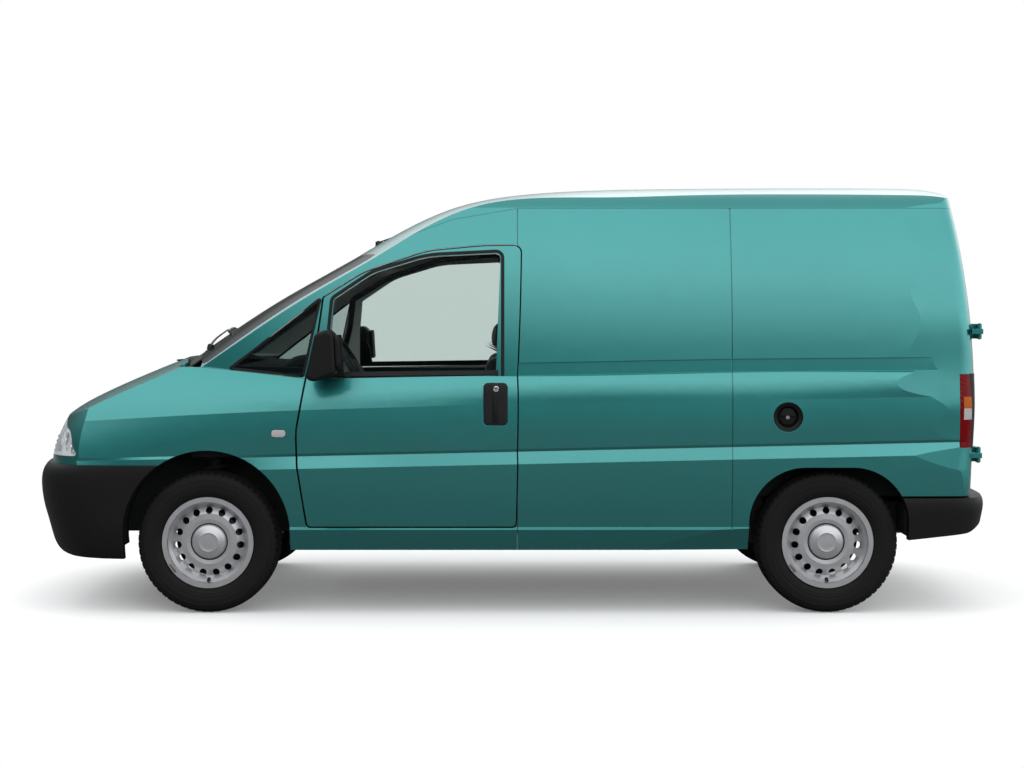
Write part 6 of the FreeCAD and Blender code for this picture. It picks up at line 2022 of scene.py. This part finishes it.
@dataclass
class RunningGear(SidePart):
    """Brakes, springs, arch liners and the small underbody parts of one side."""

    front_x: float = 1372.0
    rear_x: float = -1452.0
    hub_z: float = 322.0
    track: float = 770.0
    kingpin: float = 625.0
    spring_low: float = 540.0
    spring_high: float = 760.0
    coil_radius: float = 62.0
    coil_turns: float = 4.5
    coil_steps: int = 54
    liner_y: float = 828.0
    liner_z: float = 367.0
    liner_radius: float = 376.0
    liner_steps: int = 40

    def build(self) -> None:
        """Make the parts of this side."""
        self._brakes()
        self._springs()
        self._front_liner()
        self._shields()
        self._rear_underbody()

    def _brakes(self) -> None:
        """The front disc and the rear drum, which turn with the wheels."""
        shop = self.shop
        disc = [(40, -22), (66, -22), (68, -40), (128, -40), (129, -41), (129, -58), (128, -59), (70, -59),
                (58, -30), (40, -30)]
        drum = [(30, -26), (96, -26), (112, -34), (116, -40), (116, -84), (120, -86), (120, -92), (108, -92),
                (30, -80)]
        self._hub_part("brake_disc", "wheel_front", "silver_steel", disc, self.front_x, shop.pipe)
        self._hub_part("brake_drum", "wheel_rear", "cast_metal", drum, self.rear_x, shop.cast)

    def _hub_part(self, stem: str, body: str, slot: str, section: Sequence[Point], x: float,
                  finish: Material) -> None:
        """Make one part turned about a hub.

        Args:
            stem: the piece's name without its side.
            body: the body that it moves with.
            slot: the piece's slot.
            section: (radius, outwards from the wheel's middle) points, in millimetres.
            x: where the hub lies.
            finish: its finish.
        """
        sign = self.side.value
        form = Form.turned(section, (x, sign * self.track, self.hub_z), (0, sign, 0), 72)
        self.piece(stem, body, slot).add(form, finish).made()

    def _springs(self) -> None:
        """The coil spring round the front strut, with its cups."""
        shop, sign = self.shop, self.side.value
        piece = self.piece("front_spring", "body", "underbody_steel")
        low, high, radius, count = self.spring_low, self.spring_high, self.coil_radius, self.coil_steps
        coil = []
        for step in range(count + 1):
            turn = math.tau * self.coil_turns * step / count
            coil.append((self.front_x + radius * math.cos(turn),
                         sign * self.kingpin + radius * math.sin(turn), low + (high - low) * step / count))
        piece.add(Form.cable(coil, 6.5, 8), shop.under)
        cup = [(0, -4), (70, -4), (76, 4), (70, 6), (0, 4)]
        for z in (low - 12, high + 12):
            piece.add(Form.turned(cup, (self.front_x, sign * self.kingpin, z), (0, 0, 1), 40), shop.under)
        piece.made()

    def _front_liner(self) -> None:
        """The dark plastic liner in the front arch's opening."""
        centre = vec(self.front_x, self.side.value * self.liner_y, self.liner_z)
        frames = []
        for step in range(self.liner_steps + 1):
            angle = math.radians(-8.0 + 196.0 * step / self.liner_steps)
            outward = Vector((math.cos(angle), 0.0, math.sin(angle)))
            along = Vector((-math.sin(angle), 0.0, math.cos(angle)))
            frame = Matrix((Vector((0, 1, 0)), outward, along)).transposed().to_4x4()
            frame.translation = centre + outward * self.liner_radius * MM
            frames.append(frame)
        strip = [(-48, -1.5), (48, -1.5), (48, 1.5), (-48, 1.5)]
        piece = self.piece("front_arch_liner", "body", "trim_plastic")
        piece.add(Form.swept(strip, frames, False), self.shop.bumper).made()

    def _shields(self) -> None:
        """The shields behind the brakes."""
        for stem, body, x, inner in (("brake_shield_front", "steered", self.front_x, -62.5),
                                     ("brake_shield_rear", "body", self.rear_x, -94.5)):
            shield = [(0, inner), (120, inner), (130, inner - 1), (168, inner - 0.5), (168, inner - 2.5),
                      (0, inner - 2.5)]
            self._hub_part(stem, body, "underbody_steel", shield, x, self.shop.under)

    def _rear_underbody(self) -> None:
        """The side member, the damper and the mud flap."""
        piece = self.piece("rear_underbody", "body", "underbody_steel")
        damper = [(self.rear_x - 60, 600, 300), (self.rear_x - 190, 590, 380), (self.rear_x - 330, 580, 470)]
        for form in (Form.block((-2080, 520, 372), (-1080, 600, 482), 10, 3), Form.cable(damper, 24.0, 16),
                     Form.block((-1822, 600, 350), (-1814, 868, 470), 2, 2)):
            piece.add(self.own(form), self.shop.under)
        piece.made()


@dataclass
class EngineBay:
    """What is seen under the bonnet: battery, air filter, bottles, cover and hoses."""

    shop: Workshop

    def build(self) -> None:
        """Make the fittings round the plain engine block."""
        shop = self.shop
        piece = Piece("engine_bay_fittings", "body", "cast_metal")
        piece.add(Form.block((1470, -230, 878), (1790, 210, 924), 16, 4), shop.cabin)
        for y in (-150, -60, 30, 120):
            piece.add(Form.block((1500, y - 12, 920), (1760, y + 12, 934), 5, 2), shop.cabin)
            piece.add(Form.cable([(1800, y, 880), (1826, y, 862), (1832, y, 800)], 15.0, 12), shop.cast)
        cap = [(0, 20), (24, 19), (27, 14), (27, 4), (20, 0), (0.0, 0.0)]
        piece.add(Form.turned(cap, (1560, 150, 926), (0, 0, 1), 32), shop.trim)
        piece.add(Form.block((1600, 380, 720), (1840, 540, 900), 10, 3), shop.seal)
        piece.add(Form.block((1596, 376, 896), (1844, 544, 912), 6, 2), shop.bumper)
        post = [(0, 22), (8, 22), (10, 0), (0.0, 0.0)]
        for x in (1640, 1800):
            piece.add(Form.turned(post, (x, 430, 908), (0, 0, 1), 20), shop.pipe)
        piece.add(Form.block((1560, -560, 740), (1860, -380, 930), 26, 4), shop.trim)
        duct = [(1700, -380, 860), (1700, -330, 900), (1660, -270, 910), (1620, -235, 905)]
        piece.add(Form.cable(duct, 34.0, 18), shop.seal)
        bottle = [(0, 120), (18, 118), (22, 104), (26, 96), (52, 84), (58, 70), (56, 0), (0.0, 0.0)]
        for y, z in ((-500, 800), (470, 790)):
            piece.add(Form.turned(bottle, (1530, y, z), (0, 0, 1), 32), shop.white)
        piece.add(Form.block((1880, -300, 540), (1930, 300, 880), 8, 3), shop.seal)
        ring = [(118, -3), (128, -3), (128, 3), (118, 3)]
        for x in (1876, 1934):
            piece.add(Form.turned(ring, (x, 0, 710), (1, 0, 0), 48), shop.trim)
        hose = [(1900, 240, 870), (1860, 260, 930), (1800, 250, 925), (1780, 200, 890)]
        piece.add(Form.cable(hose, 18.0, 14), shop.seal).made()


@dataclass
class LoadSpace:
    """The load floor's ribs, its lashing rings and the beads on the inner walls."""

    shop: Workshop
    floor_top: float = 556.0
    rings: tuple[Point, ...] = ((-400, 580), (-1900, 580))

    def build(self) -> None:
        """Make the ribs, the rings and the beads."""
        shop = self.shop
        piece = Piece("load_floor_ribs", "body", "underbody_steel")
        rib = [(-16, -1), (16, -1), (12, 3.4), (-12, 3.4)]
        skin = Skin("floor_pan")
        for y in (-420, -300, -180, -60, 60, 180, 300, 420):
            piece.add(laid_ring(skin, [(-130, y), (-1960, y)], ONTO_FLOOR, rib, 200.0, False), shop.under)
        for x, y in self.rings:
            top = self.floor_top
            piece.add(Form.block((x - 20, y - 16, top - 1), (x + 20, y + 16, top + 4), 2, 2), shop.pipe, True)
            ring = [(x - 16, y, top + 2), (x - 18, y, top + 22), (x, y, top + 34), (x + 18, y, top + 22),
                    (x + 16, y, top + 2)]
            piece.add(Form.cable(ring, 4.0, 10), shop.pipe, True)
        piece.made()
        beads = Piece("load_wall_beads", "body", "body_paint")
        bead = [(-14, -2), (14, -2), (8, 4), (-8, 4)]
        for side, wall in ((Side.LEFT, Skin("load_side_left")),
                           (Side.RIGHT, Skin("load_side_right", "sliding_door"))):
            for x in (-330, -680, -1000, -1760):
                beads.add(laid_ring(wall, [(x, 860), (x, 1640)], side.inside, bead, 60.0, False), shop.paint)
        beads.made()


# The stage

@dataclass
class Studio:
    """Floor, light and the camera at the photograph's place."""

    eye: Place = (-0.014, 9.355, 1.381)
    pitch_down: float = 2.26
    lens: float = 65.85
    sensor: float = 36.0
    floor_half: float = 60.0
    floor_colour: Colour = (0.88, 0.88, 0.88)
    floor_bounce: Colour = (0.15, 0.15, 0.15)
    sky: tuple[Point, ...] = ((0.0, 0.01), (0.10, 0.05), (0.27, 0.58), (0.42, 1.0), (1.0, 0.42))
    sky_strength: float = 2.0
    sky_tilt: float = -0.25
    white_rays: tuple[tuple[str, float], ...] = (("Is Camera Ray", 1.0), ("Is Transmission Ray", 1.0),
                                                 ("Is Glossy Ray", 0.05), ("Is Diffuse Ray", 0.30))
    glow_near: float = 0.15
    fade_from: float = 0.55
    fade_to: float = 1.05
    lamps: tuple = (
        ("roof_light", (0, 0.8, 6.5), (9, 4.5), 150.0, (0.0, 0.0, 0.9)),
        ("side_light", (-0.4, 9, 2.9), (9, 2.6), 120.0, (-0.1, 0.8, 1.3)),
        ("far_light", (0, -9, 5), (10, 3.5), 170.0, (0, -0.8, 1.2)),
        ("nose_light", (9, 0, 4.5), (4, 3), 90.0, (1.5, 0, 0.8)),
        ("tail_light", (-9, 0, 4.5), (4, 3), 90.0, (-1.5, 0, 0.9)),
    )

    def build(self) -> None:
        """Make the camera, the world, the lamps and the floor."""
        self._camera()
        self._world()
        for name, place, size, power, aim in self.lamps:
            self._softbox(name, place, size, power, aim)
        self._floor()

    def _camera(self) -> None:
        """Put the camera where the photograph was taken from."""
        data = bpy.data.cameras.new("camera")
        data.lens = self.lens
        data.sensor_width = self.sensor
        data.clip_end = 200.0
        camera = bpy.data.objects.new("camera", data)
        camera.location = self.eye
        camera.rotation_euler = (math.radians(90.0 - self.pitch_down), 0.0, math.radians(180.0))
        bpy.context.scene.collection.objects.link(camera)
        bpy.context.scene.camera = camera
        bpy.context.scene.view_settings.view_transform = "Standard"

    def _world(self) -> None:
        """White to the camera and in reflections, softer as a light."""
        world = bpy.data.worlds.new("studio_world")
        bpy.context.scene.world = world
        world.use_nodes = True
        nodes = Nodes(world.node_tree)
        place = nodes.node("ShaderNodeTexCoord", {}, {}, "Generated")
        ahead, up = (nodes.node("ShaderNodeSeparateXYZ", {}, {0: place}, axis) for axis in "XZ")
        height = nodes.node("ShaderNodeMath", {"operation": "MULTIPLY_ADD"},
                            {0: ahead, 1: self.sky_tilt, 2: up})
        stops = [(spot, (level * 0.97, level * 0.99, level)) for spot, level in self.sky]
        colour = nodes.node("ShaderNodeValToRGB", {"stops": stops}, {0: height}, "Color")
        light = nodes.node("ShaderNodeBackground", {}, {"Color": colour, "Strength": self.sky_strength})
        white = nodes.node("ShaderNodeBackground", {}, {"Color": (1.0, 1.0, 1.0)})
        share = 0.0
        for name, part in self.white_rays:
            ray = nodes.node("ShaderNodeLightPath", {}, {}, name)
            share = nodes.node("ShaderNodeMath", {"operation": "MULTIPLY_ADD", "use_clamp": True},
                               {0: ray, 1: part, 2: share})
        nodes.show(share, light, white, "World Output")

    @staticmethod
    def _softbox(name: str, place: Sequence[float], size: Point, power: float, aim: Sequence[float]) -> None:
        """Add one rectangular lamp.

        Args:
            name: the lamp's name.
            place: where it stands.
            size: its width and height.
            power: its power in watts.
            aim: the point that it faces.
        """
        data = bpy.data.lights.new(name, "AREA")
        data.shape = "RECTANGLE"
        data.size, data.size_y = size
        data.energy = power
        lamp = bpy.data.objects.new(name, data)
        lamp.visible_glossy = False
        lamp.location = place
        lamp.rotation_euler = (Vector(aim) - Vector(place)).to_track_quat("-Z", "Y").to_euler()
        bpy.context.scene.collection.objects.link(lamp)

    def _floor(self) -> None:
        """A pale floor that fades into the white behind."""
        bm = bmesh.new()
        bmesh.ops.create_grid(bm, x_segments=1, y_segments=1, size=self.floor_half)
        graph = Graph("pale_floor")
        cloud = graph.noise(0.7, 2)
        camera = graph.node("ShaderNodeLightPath", {}, {}, "Is Camera Ray")
        pale = graph.mix(cloud, self.floor_colour, tuple(c + 0.02 for c in self.floor_colour))
        graph.set(Base_Color=graph.mix(camera, self.floor_bounce, pale), Roughness=0.9,
                  Specular_IOR_Level=0.1)
        spot = graph.node("ShaderNodeMapping", {}, {"Vector": graph.place(), "Scale": (0.22, 0.36, 1.0)})
        away = graph.node("ShaderNodeVectorMath", {"operation": "LENGTH"}, {0: spot}, "Value")
        fade = graph.node("ShaderNodeMapRange", {"interpolation_type": "SMOOTHSTEP"},
                          {"Value": away, "From Min": self.fade_from, "From Max": self.fade_to,
                           "To Min": self.glow_near, "To Max": 1.0})
        glow = graph.node("ShaderNodeEmission", {}, {"Color": (1.0, 1.0, 1.0), "Strength": 1.0})
        graph.show(camera * fade, Wire(graph, graph.shader.outputs[0]), glow, "Material Output")
        mesh = bpy.data.meshes.new("floor")
        bm.to_mesh(mesh)
        bm.free()
        mesh.materials.append(graph.material)
        floor = bpy.data.objects.new("floor", mesh)
        bpy.context.scene.collection.objects.link(floor)


def coat_frame(shop: Workshop) -> None:
    """Give every node of the frame its finish.

    Args:
        shop: the van's finishes.
    """
    finishes = {
        "body_paint": shop.paint, "trim_plastic": shop.bumper, "window_glass": shop.glass,
        "lamp_clear": shop.clear, "lamp_red": shop.red, "underbody_steel": shop.under,
        "cast_metal": shop.cast, "silver_steel": shop.wheel, "tyre_rubber": shop.tyre,
        "cabin_plastic": shop.cabin, "seat_cloth": shop.cloth,
    }
    slots = {part["node"]: part["material_slot"] for part in FRAME["record"]["subparts"]}
    others = {"exhaust": shop.rust, "fuel_filler": shop.paint, "quarter_glasses": shop.dark_glass}
    for node, thing in FRAME["nodes"].items():
        finish = others.get(node, finishes[slots[node]])
        for index in range(len(thing.material_slots)):
            thing.material_slots[index].material = finish


def main() -> None:
    """Build the whole scene in order."""
    logging.basicConfig(level=logging.INFO, format="%(name)s: %(message)s")
    FRAME.update(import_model())
    shop = Workshop()
    Studio().build()
    coat_frame(shop)
    for side in Side:
        for axle in Axle:
            RoadWheel(axle, side, shop).build()
        for sort in (WindowRubber, DoorHandle, MirrorFittings, SideRepeater, RearDoorTrim, DoorCard,
                     Lining, Belts, RunningGear):
            sort(side, shop).build()
    for sort in (FuelFiller, SlidingDoorTrim, Headlamps, TailLamps, FrontEnd, Wipers, Aerial, EngineBay,
                 LoadSpace, Headliner, Seats, Dashboard, SteeringTrim):
        sort(shop).build()


if __name__ == "__main__":
    main()
